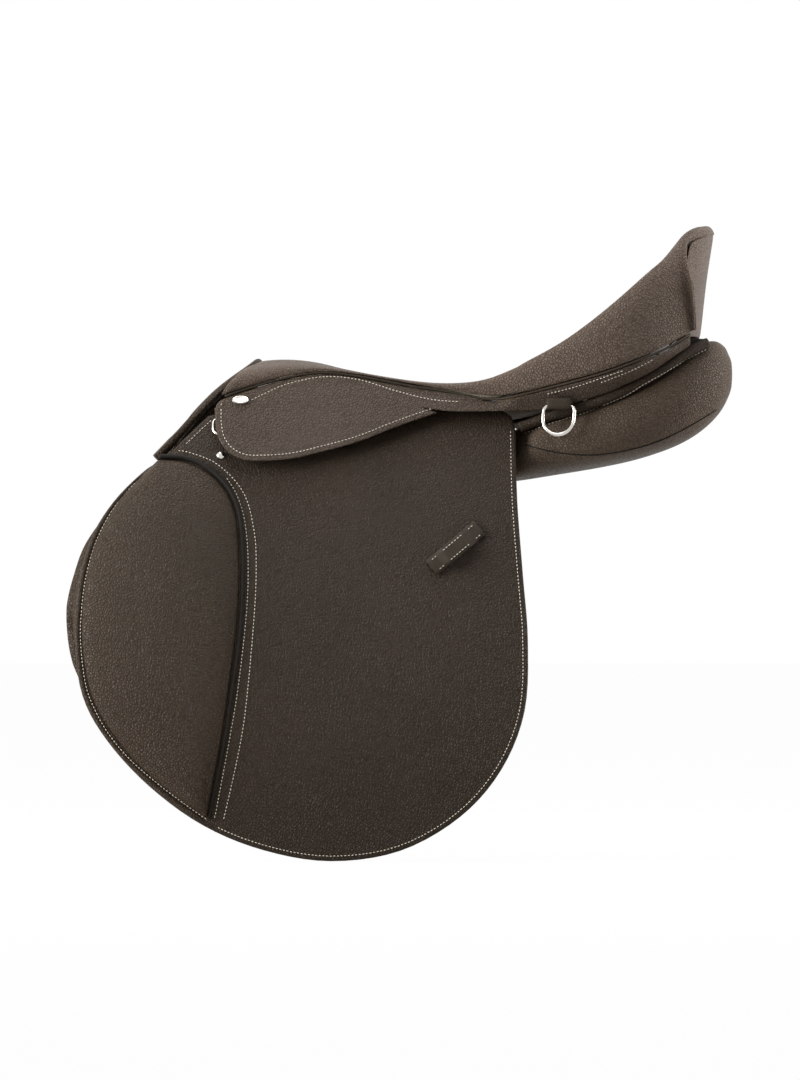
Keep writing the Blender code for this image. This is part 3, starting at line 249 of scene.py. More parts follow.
def build_tone_group():
    """Broad uneven tone of a hide: slow clouds, 0 to 1."""
    group, start, stop = new_group("hide_tone", (("Scale", 9.0),), ("Tone",))
    place = group.nodes.new("ShaderNodeTexCoord").outputs["Object"]
    clouds = group.nodes.new("ShaderNodeTexNoise")
    set_inputs(clouds, Detail=5.0, Roughness=0.6)
    group.links.new(place, clouds.inputs["Vector"])
    group.links.new(start.outputs["Scale"], clouds.inputs["Scale"])
    spread = group.nodes.new("ShaderNodeMapRange")
    set_inputs(spread, From_Min=0.3, From_Max=0.7)
    group.links.new(clouds.outputs["Fac"], spread.inputs["Value"])
    group.links.new(spread.outputs["Result"], stop.inputs["Tone"])
    return group


GRAIN = build_grain_group()
TONE = build_tone_group()
print("node groups:", GRAIN.name, TONE.name)

# %% [markdown]
# ## Finishes
# One function makes every leather: dark brown, with its grain's creases darkened as painted
# shade, a satin sheen whose roughness follows the grain, and a fine bump. Thread, nickel,
# steel, wood, web and foam follow with their own patterns.

# %% Leather materials
LEATHER_SPECULAR = 0.12
# The crease tone and its share paint shade into the grain's creases.
CREASE_SHADE_TONE, CREASE_SHADE_SHARE, CREASE_DULLNESS = (0.42, 0.40, 0.38, 1), 0.85, 0.10


def linear(colour):
    """Colour as seen on a screen, 0 to 255, as the shader needs it."""
    return (*(((c / 255 + 0.055) / 1.055) ** 2.4 for c in colour), 1)


def mix_colour(tree, share, low, high):
    """The output of a Mix node between two screen colours."""
    node = tree.nodes.new("ShaderNodeMix")
    node.data_type = "RGBA"
    set_inputs(node, A=linear(low), B=linear(high))
    tree.links.new(share, node.inputs["Factor"])
    return node.outputs["Result"]


def add_bump(tree, shader, height, strength, depth):
    """Bump on a shader from a height socket."""
    bump = tree.nodes.new("ShaderNodeBump")
    set_inputs(bump, Strength=strength, Distance=depth)
    tree.links.new(height, bump.inputs["Height"])
    tree.links.new(bump.outputs["Normal"], shader.inputs["Normal"])


def leather(name, dark, light, grain_scale, depth, roughness):
    """A leather between two tones; depth is the grain's, in metres."""
    made, tree, shader = new_material(name)
    set_inputs(shader, Specular_IOR_Level=LEATHER_SPECULAR)
    grain = tree.nodes.new("ShaderNodeGroup")
    grain.node_tree = GRAIN
    set_inputs(grain, Scale=grain_scale)
    tone = tree.nodes.new("ShaderNodeGroup")
    tone.node_tree = TONE
    hide = mix_colour(tree, tone.outputs["Tone"], dark, light)
    # Painted shade: the base colour is darkened in the grain's creases.
    shade = tree.nodes.new("ShaderNodeMix")
    shade.data_type = "RGBA"
    shade.blend_type = "MULTIPLY"
    set_inputs(shade, B=CREASE_SHADE_TONE)
    tree.links.new(hide, shade.inputs["A"])
    crease_shading = math_node(tree, "MULTIPLY", grain.outputs["Crease"], CREASE_SHADE_SHARE)
    tree.links.new(crease_shading, shade.inputs["Factor"])
    tree.links.new(shade.outputs["Result"], shader.inputs["Base Color"])
    dull = math_node(tree, "MULTIPLY", grain.outputs["Crease"], CREASE_DULLNESS)
    tree.links.new(math_node(tree, "ADD", dull, roughness), shader.inputs["Roughness"])
    add_bump(tree, shader, grain.outputs["Height"], 1.0, depth)
    return made


FLAP_LEATHER = leather("pebbled_flap_leather", (44, 34, 24), (52, 41, 30), 400, 0.00050, 0.42)
# Painted light: the skirt's leather is the flap's hide made lighter, for the top light on it.
LIT_SKIRT_LEATHER = leather("pebbled_skirt_leather_painted_light", (69, 58, 49), (77, 65, 55), 400, 0.00050, 0.42)
# Painted light: the seat's leather is the same dark hide made lighter, for the top light on seat
# and cantle.
LIT_SEAT_LEATHER = leather("soft_seat_leather_painted_light", (86, 73, 63), (95, 81, 70), 410, 0.00048, 0.40)
PANEL_LEATHER = leather("soft_panel_leather", (70, 58, 47), (79, 66, 54), 410, 0.00048, 0.42)
PAD_LEATHER = leather("fine_pad_leather", (51, 41, 29), (60, 48, 36), 400, 0.00052, 0.40)
STRAP_LEATHER = leather("smooth_strap_leather", (46, 38, 28), (56, 47, 35), 1300, 0.00010, 0.42)
LINING_LEATHER = leather("lining_leather", (60, 50, 39), (69, 59, 47), 1000, 0.00010, 0.6)
# Nearly black: the binding's own dark colour, and painted shade in the knee pad's groove and the
# gap behind the panel welt.
BINDING_AND_SHADE_LEATHER = leather("binding_and_painted_shade_leather", (22, 19, 15), (29, 25, 20), 1200, 0.00008, 0.6)
print("materials so far:", len(bpy.data.materials))

# %% Thread, metal, wood and web materials
NOISE, CELLS = "ShaderNodeTexNoise", "ShaderNodeTexVoronoi"
RIPPLE_STRENGTH = 0.5


def patterned(name, colour, roughness, texture_type, scale, depth, dark, light,
              metallic=0.0, stretch=(1, 1, 1)):
    """A finish whose bump and change of colour come from one texture."""
    made, tree, shader = new_material(name)
    set_inputs(shader, Base_Color=linear(colour), Roughness=roughness, Metallic=metallic)
    place = tree.nodes.new("ShaderNodeTexCoord").outputs["Object"]
    turn = tree.nodes.new("ShaderNodeMapping")
    set_inputs(turn, Scale=stretch)
    tree.links.new(place, turn.inputs["Vector"])
    texture = tree.nodes.new(texture_type)
    set_inputs(texture, Scale=scale)
    tree.links.new(turn.outputs[0], texture.inputs["Vector"])
    add_bump(tree, shader, texture.outputs[0], RIPPLE_STRENGTH, depth)
    mixed = mix_colour(tree, texture.outputs[0], dark, light)
    tree.links.new(mixed, shader.inputs["Base Color"])
    return made


THREAD = patterned("cream_thread", (196, 188, 172), 0.75, NOISE, 2600, 0.0001,
                   (176, 168, 150), (214, 207, 192))
NICKEL = patterned("polished_nickel", (176, 171, 158), 0.20, NOISE, 240, 0.00003,
                   (196, 192, 184), (216, 213, 206), metallic=1.0)
STEEL = patterned("forged_bar_steel", (150, 150, 152), 0.34, NOISE, 320, 0.0001,
                  (128, 128, 130), (168, 168, 170), metallic=1.0)
BEECH = patterned("beech_laminate", (170, 140, 104), 0.55, NOISE, 60, 0.0002,
                  (150, 120, 86), (186, 156, 118), stretch=(0.15, 1, 4))
WEBBING = patterned("woven_web", (196, 188, 170), 0.9, CELLS, 900, 0.0003,
                    (170, 162, 142), (206, 199, 182))
FOAM = patterned("seat_foam", (222, 214, 192), 0.95, CELLS, 1400, 0.0003,
                 (200, 190, 166), (230, 222, 202))
# Painted shade: the punched holes are dark discs on the strap, not cut through it.
HOLE_SHADE_FINISH = patterned("punched_hole_painted_shade", (30, 26, 22), 0.8, NOISE, 900, 0.0001,
                      (24, 20, 17), (38, 33, 28))
print("materials so far:", len(bpy.data.materials))

# %% [markdown]
# ## The flank
# Flap, skirt, sweat flap and pads all lie on one curved surface, the side of the horse's
# barrel. Each is shaped flat, as x along the saddle, z up it and a height off the surface,
# and is then laid over that curve. So a stitch or a pad never floats or sinks.

# %% Lay flat work over the flank
HINGE_HEIGHT, FLAP_LOW = 60 * MM, -334 * MM
WIDTH_TOP, WIDTH_LOW = 66 * MM, 200 * MM
SPLAY, SPLAY_FROM = 0.1, -50 * MM
FLAP_THICKNESS, SKIRT_INNER, SKIRT_OUTER = 4.5 * MM, 10.5 * MM, 14.5 * MM
STRAP_OUTER, STRAP_INNER = -4.2 * MM, -8.2 * MM


def half_width(x, z, height):
    """How far from the middle plane a point at a height off the flank lies."""
    drop = WIDTH_LOW - WIDTH_TOP
    share = (z - FLAP_LOW) / (HINGE_HEIGHT - FLAP_LOW)
    slope = 2 * drop * share / (HINGE_HEIGHT - FLAP_LOW)
    width = WIDTH_TOP + SPLAY * (x - SPLAY_FROM) + drop * (1 - share * share)
    return width + height * math.sqrt(1 + slope * slope + SPLAY * SPLAY)


def on_flank(side, x, z, height):
    """The point in space for flat work at x, z and a height off the flank."""
    return Vector((x, side * half_width(x, z, height), z))


def lay_over(bm, side):
    """Move flat work (x, z, height) onto the curve of one side."""
    for vert in bm.verts:
        vert.co = on_flank(side, vert.co.x, vert.co.y, vert.co.z)


def smooth_through(points, per_span):
    """Points on a smooth line through the given ones (millimetres in, metres out)."""
    line = []
    last = len(points) - 1
    for index in range(last):
        a = Vector(points[max(index - 1, 0)])
        b, c = Vector(points[index]), Vector(points[index + 1])
        d = Vector(points[min(index + 2, last)])
        for step in range(per_span):
            t = step / per_span
            m0, m1 = (c - a) / 2, (d - b) / 2
            line.append(((2 * t**3 - 3 * t**2 + 1) * b + (t**3 - 2 * t**2 + t) * m0
                         + (-2 * t**3 + 3 * t**2) * c + (t**3 - t**2) * m1) * MM)
    line.append(Vector(points[last]) * MM)
    return line


def inset(line, distance):
    """The open line moved sideways to its left, seen along its direction."""
    moved = []
    last = len(line) - 1
    for index, point in enumerate(line):
        run = (line[min(index + 1, last)] - line[max(index - 1, 0)]).normalized()
        moved.append(point + Vector((-run.y, run.x)) * distance)
    return moved


print("half-width at the hinge:", round(half_width(SPLAY_FROM, HINGE_HEIGHT, 0), 4))

# %% [markdown]
# ## Making a piece
# Each piece ends the same way: normals outwards, smooth shading, a material, the empty of the
# body that it rides on, and the solids that it stands for hidden.

# %% Helpers that finish a piece
SAME_POINT, SAME_CORNER = 1e-6, 1e-5
SHARP_OVER = math.radians(38)
JOIN_FACE, JOIN_SHAPE = math.radians(50), math.radians(70)
SOFT_CREASE = 0.75


def new_piece(bm, name, body, finish, nodes=()):
    """A smooth-shaded object made from bm, hung on its body's empty, its solids hidden."""
    mesh = bpy.data.meshes.new(name)
    bm.to_mesh(mesh)
    bm.free()
    mesh.shade_smooth()
    mesh.materials.append(finish)
    made = add_object(name, mesh)
    if nodes:
        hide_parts(*nodes)
    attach(made, body)
    return made


def finish_piece(bm, name, body, finish, nodes=(), levels=0):
    """A piece with its normals outwards, subdivided, or else with its sharp edges kept."""
    bmesh.ops.remove_doubles(bm, verts=bm.verts, dist=SAME_POINT)
    bmesh.ops.recalc_face_normals(bm, faces=bm.faces)
    if not any(edge.is_boundary for edge in bm.edges) and bm.calc_volume(signed=True) < 0:
        bmesh.ops.reverse_faces(bm, faces=bm.faces)
    made = new_piece(bm, name, body, finish, nodes)
    if levels:
        subdivide = made.modifiers.new("smooth", "SUBSURF")
        subdivide.levels = levels
        subdivide.render_levels = levels
    else:
        made.data.set_sharp_from_angle(angle=SHARP_OVER)
    return made


def merged_copy(node):
    """The solid's mesh with its loose triangles merged into clean faces."""
    bm = bmesh.new()
    bm.from_mesh(frame["nodes"][node].data)
    bmesh.ops.remove_doubles(bm, verts=bm.verts, dist=SAME_CORNER)
    bmesh.ops.join_triangles(
        bm, faces=bm.faces, angle_face_threshold=JOIN_FACE, angle_shape_threshold=JOIN_SHAPE)
    return bm


def crease_sharp(bm, over, crease=SOFT_CREASE):
    """Crease the edges that bend by more than some degrees; the layer and those edges."""
    layer = bm.edges.layers.float.new("crease_edge")
    sharp = [edge for edge in bm.edges
             if len(edge.link_faces) == 2 and edge.calc_face_angle() > math.radians(over)]
    for edge in sharp:
        edge[layer] = crease
    return layer, sharp


def soft_copy(node, name, finish, levels=2, body="saddle", crease_over=60):
    """A rounded form from a solid; edges sharper than crease_over degrees keep a crease."""
    bm = merged_copy(node)
    if crease_over is not None:
        crease_sharp(bm, crease_over)
    return finish_piece(bm, name, body, finish, (node,), levels)


def sheet_of_leather(outline, low, high, rounding, cell=9 * MM, square_over=None):
    """A flat sheet in (x, z, height), cut into cells; its rim is rounded below square_over."""
    bm = bmesh.new()
    face = bm.faces.new([bm.verts.new((p.x, p.y, low)) for p in outline])
    grown = bmesh.ops.extrude_face_region(bm, geom=[face])
    top = [item for item in grown["geom"] if isinstance(item, bmesh.types.BMVert)]
    bmesh.ops.translate(bm, vec=(0, 0, high - low), verts=top)
    chosen = set(top)
    rim = [edge for edge in bm.edges if set(edge.verts) <= chosen
           and (square_over is None or min(vert.co.y for vert in edge.verts) < square_over)]
    bmesh.ops.bevel(bm, geom=rim, offset=rounding, segments=3, profile=0.5, affect="EDGES",
                    material=-1)
    for axis in (0, 1):
        values = [point[axis] for point in outline]
        normal = Vector((1 - axis, axis, 0))
        level = math.floor(min(values) / cell) * cell + cell
        while level < max(values):
            bmesh.ops.bisect_plane(
                bm, geom=list(bm.verts) + list(bm.edges) + list(bm.faces), dist=1e-7,
                plane_co=normal * level, plane_no=normal)
            level += cell
    return bm


print("helpers ready")

# %% [markdown]
# ## Stitches
# Saddle stitching is a row of short, slightly raised threads, 3.1 mm from one to the next.
# Each thread is a squashed sphere of a few faces, so that a thousand stay light.

# %% Rows of stitches
STITCH_PITCH, STITCH_LENGTH, THREAD_WIDTH = 3.1 * MM, 2.2 * MM, 0.8 * MM
STITCH_SIDES, STITCH_RINGS = 6, 5
STITCH_POINTS = STITCH_SIDES * (STITCH_RINGS - 1) + 2


def evenly(line, pitch):
    """Points and directions at an even pitch along a line of points."""
    marks, carried = [], pitch / 2
    for a, b in zip(line, line[1:]):
        length = (b - a).length
        while carried < length:
            marks.append((a.lerp(b, carried / length), (b - a).normalized()))
            carried += pitch
        carried -= length
    return marks


def add_stitch(bm, centre, run, out):
    """One thread, along run and raised along out."""
    across = out.cross(run).normalized()
    out = run.cross(across).normalized()
    turn = Matrix((run, across, out)).transposed().to_4x4()
    turn.translation = centre
    size = Matrix.Diagonal((STITCH_LENGTH / 2, THREAD_WIDTH / 2, THREAD_WIDTH / 2, 1))
    bmesh.ops.create_uvsphere(bm, u_segments=STITCH_SIDES, v_segments=STITCH_RINGS, radius=1.0,
                              matrix=turn @ size)


def thread_piece(bm, name, body):
    """All the stitches in bm as one piece."""
    made = new_piece(bm, name, body, THREAD)
    print(name, "stitches:", len(made.data.vertices) // STITCH_POINTS)


def flank_thread(name, body, side, rows):
    """Rows of stitches over the flank; a row is a flat line (x, z) and its height, which may
    be a function of the point."""
    bm = bmesh.new()
    for line, height in rows:
        for point, run in evenly(line, STITCH_PITCH):
            lift = height(point) if callable(height) else height
            step = run * MM
            here = on_flank(side, point.x, point.y, lift)
            ahead = on_flank(side, point.x + step.x, point.y + step.y, lift)
            above = on_flank(side, point.x, point.y, lift + MM)
            add_stitch(bm, here, (ahead - here).normalized(), (above - here).normalized())
    thread_piece(bm, name, body)


print("stitch pitch:", STITCH_PITCH)

# %% [markdown]
# ## Work laid on a finished surface
# A seam or a row of stitches on a form that curves every way is drawn in the side view, as on
# the photograph. A ray from the side then finds the leather under each point of the line.

# %% Stitches and cords on a finished surface
RAY_START = 500 * MM
THREAD_LIFT = 0.1 * MM
CORD_STEP, CORD_ENDS = 2 * MM, (0.3, 0.8)


def skin_of(*pieces):
    """Search trees over finished pieces, with their modifiers applied."""
    bpy.context.view_layer.update()
    depsgraph = bpy.context.evaluated_depsgraph_get()
    return [BVHTree.FromObject(piece, depsgraph) for piece in pieces]


def touch(trees, side, x, z):
    """The outermost point met from the side at x, z, and its normal."""
    found = None
    for tree in trees:
        start = Vector((x, side * RAY_START, z))
        hit, normal, _, _ = tree.ray_cast(start, Vector((0, -side, 0)))
        if hit and (found is None or abs(hit.y) > abs(found[0].y)):
            found = hit, normal
    return found


def skin_thread(name, trees, side, lines):
    """Stitches of the saddle body on finished surfaces, under lines in the side view."""
    bm = bmesh.new()
    for line in lines:
        for point, run in evenly(line, STITCH_PITCH):
            here = touch(trees, side, point.x, point.y)
            ahead = touch(trees, side, point.x + run.x * MM, point.y + run.y * MM)
            if here and ahead:
                along = (ahead[0] - here[0]).normalized()
                add_stitch(bm, here[0] + here[1] * THREAD_LIFT, along, here[1])
    thread_piece(bm, name, "saddle")


def tube_of_leather(points, radius, taper, widths=None):
    """A round roll through points, as a bmesh; taper thins its ends and widths its length."""
    line = bpy.data.curves.new("roll", "CURVE")
    line.dimensions = "3D"
    line.bevel_depth = radius
    line.bevel_resolution = 3
    line.use_fill_caps = True
    spline = line.splines.new("POLY")
    spline.points.add(len(points) - 1)
    for index, point in enumerate(points):
        spline.points[index].co = (*point, 1)
        near_end = min(index, len(points) - 1 - index)
        thin = taper[near_end] if near_end < len(taper) else 1.0
        spline.points[index].radius = thin * (widths[index] if widths else 1.0)
    roll = bpy.data.objects.new("roll", line)
    bm = bmesh.new()
    bm.from_mesh(bpy.data.meshes.new_from_object(roll))
    bpy.data.objects.remove(roll)
    return bm


def skin_cord(trees, side, line, radius, sink):
    """A thin cord, such as a piped seam, sunk a little into the surface; as a bmesh."""
    points = []
    for point, _ in evenly(line, CORD_STEP):
        met = touch(trees, side, point.x, point.y)
        if met:
            points.append(met[0] + met[1] * (radius - sink))
    return tube_of_leather(points, radius, CORD_ENDS)


print("surface helpers ready")

# %% [markdown]
# ## Stuffed skins
# Panels and pads are leather skins stuffed with wool or foam. Blender's Cloth with pressure
# makes a skin swell as stuffing does: full in the middle, held at its seams. A cap on how far
# a point may move keeps the skin inside the space that its solid has.

# %% Swell a skin with the cloth simulation
CLOTH_PRESSURE, CLOTH_FRAMES = 4.0, 20
CLOTH_STRETCH, CLOTH_SHEAR, CLOTH_BEND = 12, 6, 2


def swell(bm, cap, pinned):
    """Simulate a stuffed skin; pinned vertices stay and no other moves further than cap."""
    mesh = bpy.data.meshes.new("skin")
    bm.to_mesh(mesh)
    skin = add_object("skin", mesh)
    held = skin.vertex_groups.new(name="held")
    held.add([vert.index for vert in bm.verts if vert in pinned], 1.0, "REPLACE")
    cloth = skin.modifiers.new("cloth", "CLOTH")
    cloth.settings.quality = 6
    cloth.settings.mass = 0.3
    cloth.settings.tension_stiffness = CLOTH_STRETCH
    cloth.settings.compression_stiffness = CLOTH_STRETCH
    cloth.settings.shear_stiffness = CLOTH_SHEAR
    cloth.settings.bending_stiffness = CLOTH_BEND
    cloth.settings.use_pressure = True
    cloth.settings.uniform_pressure_force = CLOTH_PRESSURE
    cloth.settings.vertex_group_mass = "held"
    cloth.settings.effector_weights.gravity = 0
    cloth.collision_settings.use_collision = False
    cloth.point_cache.frame_end = CLOTH_FRAMES
    for number in range(1, CLOTH_FRAMES + 1):
        bpy.context.scene.frame_set(number)
    moved = skin.evaluated_get(bpy.context.evaluated_depsgraph_get()).to_mesh()
    furthest = 0.0
    for vert, place in zip(bm.verts, moved.vertices):
        shift = place.co - vert.co
        if shift.length > cap:
            shift *= cap / shift.length
        furthest = max(furthest, shift.length)
        vert.co += shift
    bpy.data.objects.remove(skin)
    bpy.context.scene.frame_set(1)
    print("skin swelled by up to", round(furthest / MM, 2), "mm, vertices:", len(bm.verts))


def mirrored(bm):
    """The same skin for the other side of the saddle."""
    other = bm.copy()
    bmesh.ops.scale(other, vec=(1, -1, 1), verts=other.verts)
    bmesh.ops.reverse_faces(other, faces=other.faces)
    return other


# %% [markdown]
# ## Flaps
# A flap is one sheet of grained leather with a skived, rounded edge. A row of stitches runs
# a few millimetres inside the edge, but stops in front, where the knee pad's own thread lies.

# %% Flaps
FLAP_OUTLINE = (
    (-183, 47), (-206, 25), (-222, 7.5), (-236, 1), (-264, -27), (-284, -61), (-294, -103),
    (-296, -146), (-289, -193.5), (-267.5, -232), (-231, -271), (-185, -304), (-133, -325),
    (-76, -334), (-17, -325), (34, -296), (69, -256), (89, -206), (92, -146), (88, -90),
    (83.5, -26), (82.5, 34),
)
FLAP_TOP_LINE = (
    (79, 46), (72, 51), (64, 52), (-54, 52), (-56, 48), (-56, 26), (-62, 20), (-161, 20),
    (-167, 26), (-167, 48), (-169, 50),
)
EDGE_SPAN = 5
FLAP_ROUNDING, FLAP_STITCH = 1.6 * MM, 4.4 * MM
PAD_TIP = Vector((-184 * MM, -290 * MM))
flap_edge = smooth_through(FLAP_OUTLINE, EDGE_SPAN)
flap_whole = flap_edge + [Vector(point) * MM for point in FLAP_TOP_LINE]
flap_row = inset(flap_edge, FLAP_STITCH)
past_pad = next(i for i, p in enumerate(flap_edge) if p.x > PAD_TIP.x and p.y < PAD_TIP.y)
for side, word in SIDES:
    body = f"flap_body_{word}"
    bm = sheet_of_leather(flap_whole, 0.0, FLAP_THICKNESS, FLAP_ROUNDING)
    lay_over(bm, side)
    finish_piece(bm, f"flap_leather_{word}", body, FLAP_LEATHER, (f"flap_{word}",))
    flank_thread(f"flap_edge_thread_{word}", body, side, (
        (flap_row[past_pad:], FLAP_THICKNESS), (flap_row[:EDGE_SPAN + 1], FLAP_THICKNESS)))
print("flap outline points:", len(flap_whole))

# %% [markdown]
# ## Skirts
# The skirt covers the stirrup bar. It has the flap's grain, a rounded edge, and one row of
# stitches that follows the edge; its leather is painted lighter than the flap's, for the light
# from above. Behind it a narrow strip stays sewn to the seat, in the same lighter leather.

# %% Skirts and their strips
SKIRT_OUTLINE = (
    (-177, 46), (-175, 31), (-170.5, 21.5), (-165, 15.5), (-156, 10.2), (-143, 7.8), (-112, 9.5),
    (-82, 16.3), (-52.5, 24.5), (-26, 35), (-6, 42.4), (4, 45.8), (13, 48.6),
)
SKIRT_TOP = 54.0
SKIRT_TAIL = ((14.2, 49.3), (13.6, 50.1), (2.6, 53.6), (2.6, SKIRT_TOP), (-177.5, SKIRT_TOP))
SKIRT_ROUNDING, SKIRT_CELL, SKIRT_STITCH = 1.4 * MM, 7 * MM, 5 * MM
SQUARE_OVER = 53.5 * MM
JOIN_LOW, JOIN_HIGH, JOIN_END = 53.8 * MM, 54.8 * MM, 8 * MM
HANG_FROM, HANG_OVER, HANG_BY = 140 * MM, 60 * MM, 3 * MM
skirt_edge = smooth_through(SKIRT_OUTLINE, EDGE_SPAN)
skirt_whole = skirt_edge + [Vector(point) * MM for point in SKIRT_TAIL]
skirt_row = inset(skirt_edge, SKIRT_STITCH)
skirt_row[0] = Vector((skirt_row[1].x, SQUARE_OVER))
strips = {}
for side, word in SIDES:
    body = f"skirt_body_{word}"
    bm = sheet_of_leather(skirt_whole, SKIRT_INNER, SKIRT_OUTER, SKIRT_ROUNDING, SKIRT_CELL,
                          SQUARE_OVER)
    lay_over(bm, side)
    finish_piece(bm, f"skirt_leather_{word}", body, LIT_SKIRT_LEATHER, (f"skirt_{word}",))
    flank_thread(f"skirt_edge_thread_{word}", body, side, ((skirt_row, SKIRT_OUTER),))
    bm = merged_copy(f"skirt_strip_{word}")
    lowest = set()
    for vert in bm.verts:
        if JOIN_LOW < vert.co.z < JOIN_HIGH and vert.co.x < JOIN_END:
            vert.co.z = SKIRT_TOP * MM
            lowest.add(vert)
        elif vert.co.x > HANG_FROM and vert.normal.z < -0.5:
            vert.co.z -= HANG_BY * min((vert.co.x - HANG_FROM) / HANG_OVER, 1.0)
    layer, sharp = crease_sharp(bm, 40)
    for edge in sharp:
        edge.smooth = not set(edge.verts) <= lowest
        if not edge.smooth:
            edge[layer] = 1.0
    strips[word] = finish_piece(bm, f"skirt_strip_leather_{word}", "saddle", LIT_SKIRT_LEATHER,
                                (f"skirt_strip_{word}",), 2)
print("skirt outline points:", len(skirt_whole))

# %% Thread on the strips
STRIP_ROWS = (
    ((-172.2, 55.5), (-170.6, 59.5)),
    ((-146, 60.5), (-131, 68), (-114, 75), (-83.4, 81), (-52.5, 78.4), (-22, 69), (8.6, 61.3),
     (34.4, 59)),
    ((109.2, 65.4), (135.9, 72.2), (173.7, 85.1)),
    ((154.8, 74.8), (183.2, 86), (199.5, 94.5)),
)
ROW_SPAN = 6
for side, word in SIDES:
    skin_thread(f"skirt_strip_thread_{word}", skin_of(strips[word]), side,
                [smooth_through(row, ROW_SPAN) for row in STRIP_ROWS])

# %% [markdown]
# ## Seat, cantle and head
# These forms curve in every direction, so they start from their solids. The loose triangles
# are merged, joined to quads and rounded with a Subdivision Surface.

# %% Seat, cantle, head and welts
CANTLE_TIP = Vector((241 * MM, 199 * MM))
TIP_SWELL, TIP_REACH, TIP_FADE = 7 * MM, 44 * MM, 0.7
SMOOTH_FROM, SMOOTH_PASSES, SMOOTH_SHARE = 176 * MM, 5, 0.5
SEAT_CREASE = 0.8
FACING_FROM, FACING_OVER, FACING_NARROWED = 170, 30, 0.995
FACING_SHIFT = Vector((3.2 * MM, 0, 6 * MM))

bm = merged_copy("seat_cover")
for vert in bm.verts:
    away = Vector((vert.co.x, vert.co.z)) - CANTLE_TIP
    share = max(0.0, 1 - away.length / TIP_REACH)
    if share:
        push = away.normalized() * TIP_SWELL * share ** TIP_FADE
        vert.co.x += push.x
        vert.co.z += push.y
cantle_top = [vert for vert in bm.verts if vert.co.z > SMOOTH_FROM]
for _ in range(SMOOTH_PASSES):
    bmesh.ops.smooth_vert(bm, verts=cantle_top, factor=SMOOTH_SHARE, use_axis_x=True,
                          use_axis_y=True, use_axis_z=True)
crease_sharp(bm, 60, SEAT_CREASE)
# The seat and cantle leather carries painted light: it is lighter than the flap's hide.
finish_piece(bm, "seat_leather", "saddle", LIT_SEAT_LEATHER, ("seat_cover",), 2)
bm = merged_copy("cantle_facing")
for vert in bm.verts:
    rise = min(max(0.0, vert.co.z / MM - FACING_FROM) / FACING_OVER, 1.0)
    vert.co += FACING_SHIFT * rise
    vert.co.y *= FACING_NARROWED
finish_piece(bm, "cantle_back_leather", "saddle", LIT_SEAT_LEATHER, ("cantle_facing",), 2)
soft_copy("head_facing", "head_arch_leather", PAD_LEATHER)
soft_copy("head_welt", "head_welt_roll", PAD_LEATHER)
soft_copy("gullet_lining", "gullet_lining_leather", LINING_LEATHER)
rolls = {}
for _, word in SIDES:
    soft_copy(f"seat_welt_{word}", f"seat_piping_{word}", STRAP_LEATHER, 1)
    rolls[word] = soft_copy(f"panel_welt_{word}", f"panel_roll_{word}", FLAP_LEATHER)
    soft_copy(f"sweat_flap_{word}", f"sweat_flap_leather_{word}", PAD_LEATHER)
    for node in ("knee_roll", "thigh_block"):
        stuffed = soft_copy(f"{node}_{word}", f"{node}_leather_{word}", PAD_LEATHER,
                            crease_over=None)
print("soft forms from solids: done")

# %% [markdown]
# ## Panels
# The panels are the two wool-stuffed cushions that lie on the horse's back. The skin is made
# a little small, then swelled. It stays put where the tree and the sweat flap press on it.
# Afterwards come a dark sheet of painted shade that closes the gap over the rear of the rolled
# welt, the gusset seam along the rear, and the thread under the welt.

# %% Panels
PANEL_SHRINK, PANEL_SWELL = 1.2 * MM, 2.2 * MM
UNDER_TREE, BESIDE_FLAP, FLAP_REACH = 0.6, -0.3, 96 * MM
BIN = 6  # millimetres of the welt's length that share one lowest height
WELT_ROW_DROP, WELT_ROW_PASSES = 1.2 * MM, 6
SHADE_SHEET_BINS, SHADE_SHEET_REAR = range(24, 42), 36
SHADE_SHEET_LIFT, SHADE_SHEET_IN, SHADE_SHEET_HEIGHT, SHADE_SHEET_CEILING = 3 * MM, 5 * MM, 14 * MM, 113 * MM
SHADE_SHEET_THICKNESS = 1.2 * MM
GUSSET_RADIUS, GUSSET_SINK = 0.6 * MM, 0.35 * MM
GUSSET_SEAM = (
    (88.6, 22.4), (116.1, 15.5), (149.6, 12.9), (183.2, 18.1), (209.8, 26.7), (236.5, 40.4),
    (257.1, 53.3),
)
roll_low = {}
for vert in frame["nodes"]["panel_welt_left"].data.vertices:
    key = round(vert.co.x / (BIN * MM))
    roll_low[key] = min(roll_low.get(key, 1.0), vert.co.z)
welt_row = [Vector((key * BIN * MM, roll_low[key] - WELT_ROW_DROP)) for key in sorted(roll_low)]
welt_row = welt_row[1:-1]
for _ in range(WELT_ROW_PASSES):
    middle = [(a + b * 2 + c) / 4 for a, b, c in zip(welt_row, welt_row[1:], welt_row[2:])]
    welt_row = [welt_row[0], *middle, welt_row[-1]]
bm = merged_copy("panel_left")
bmesh.ops.subdivide_edges(bm, edges=bm.edges, cuts=1, use_grid_fill=True, smooth=0.6)
bmesh.ops.recalc_face_normals(bm, faces=bm.faces)
pressed = {vert for vert in bm.verts if vert.normal.z > UNDER_TREE
           or (vert.co.x < FLAP_REACH and vert.normal.y < BESIDE_FLAP)}
for vert in bm.verts:
    if vert not in pressed:
        vert.co -= vert.normal * PANEL_SHRINK
swell(bm, PANEL_SWELL, pressed)
panel_skins = {"left": bm, "right": mirrored(bm)}
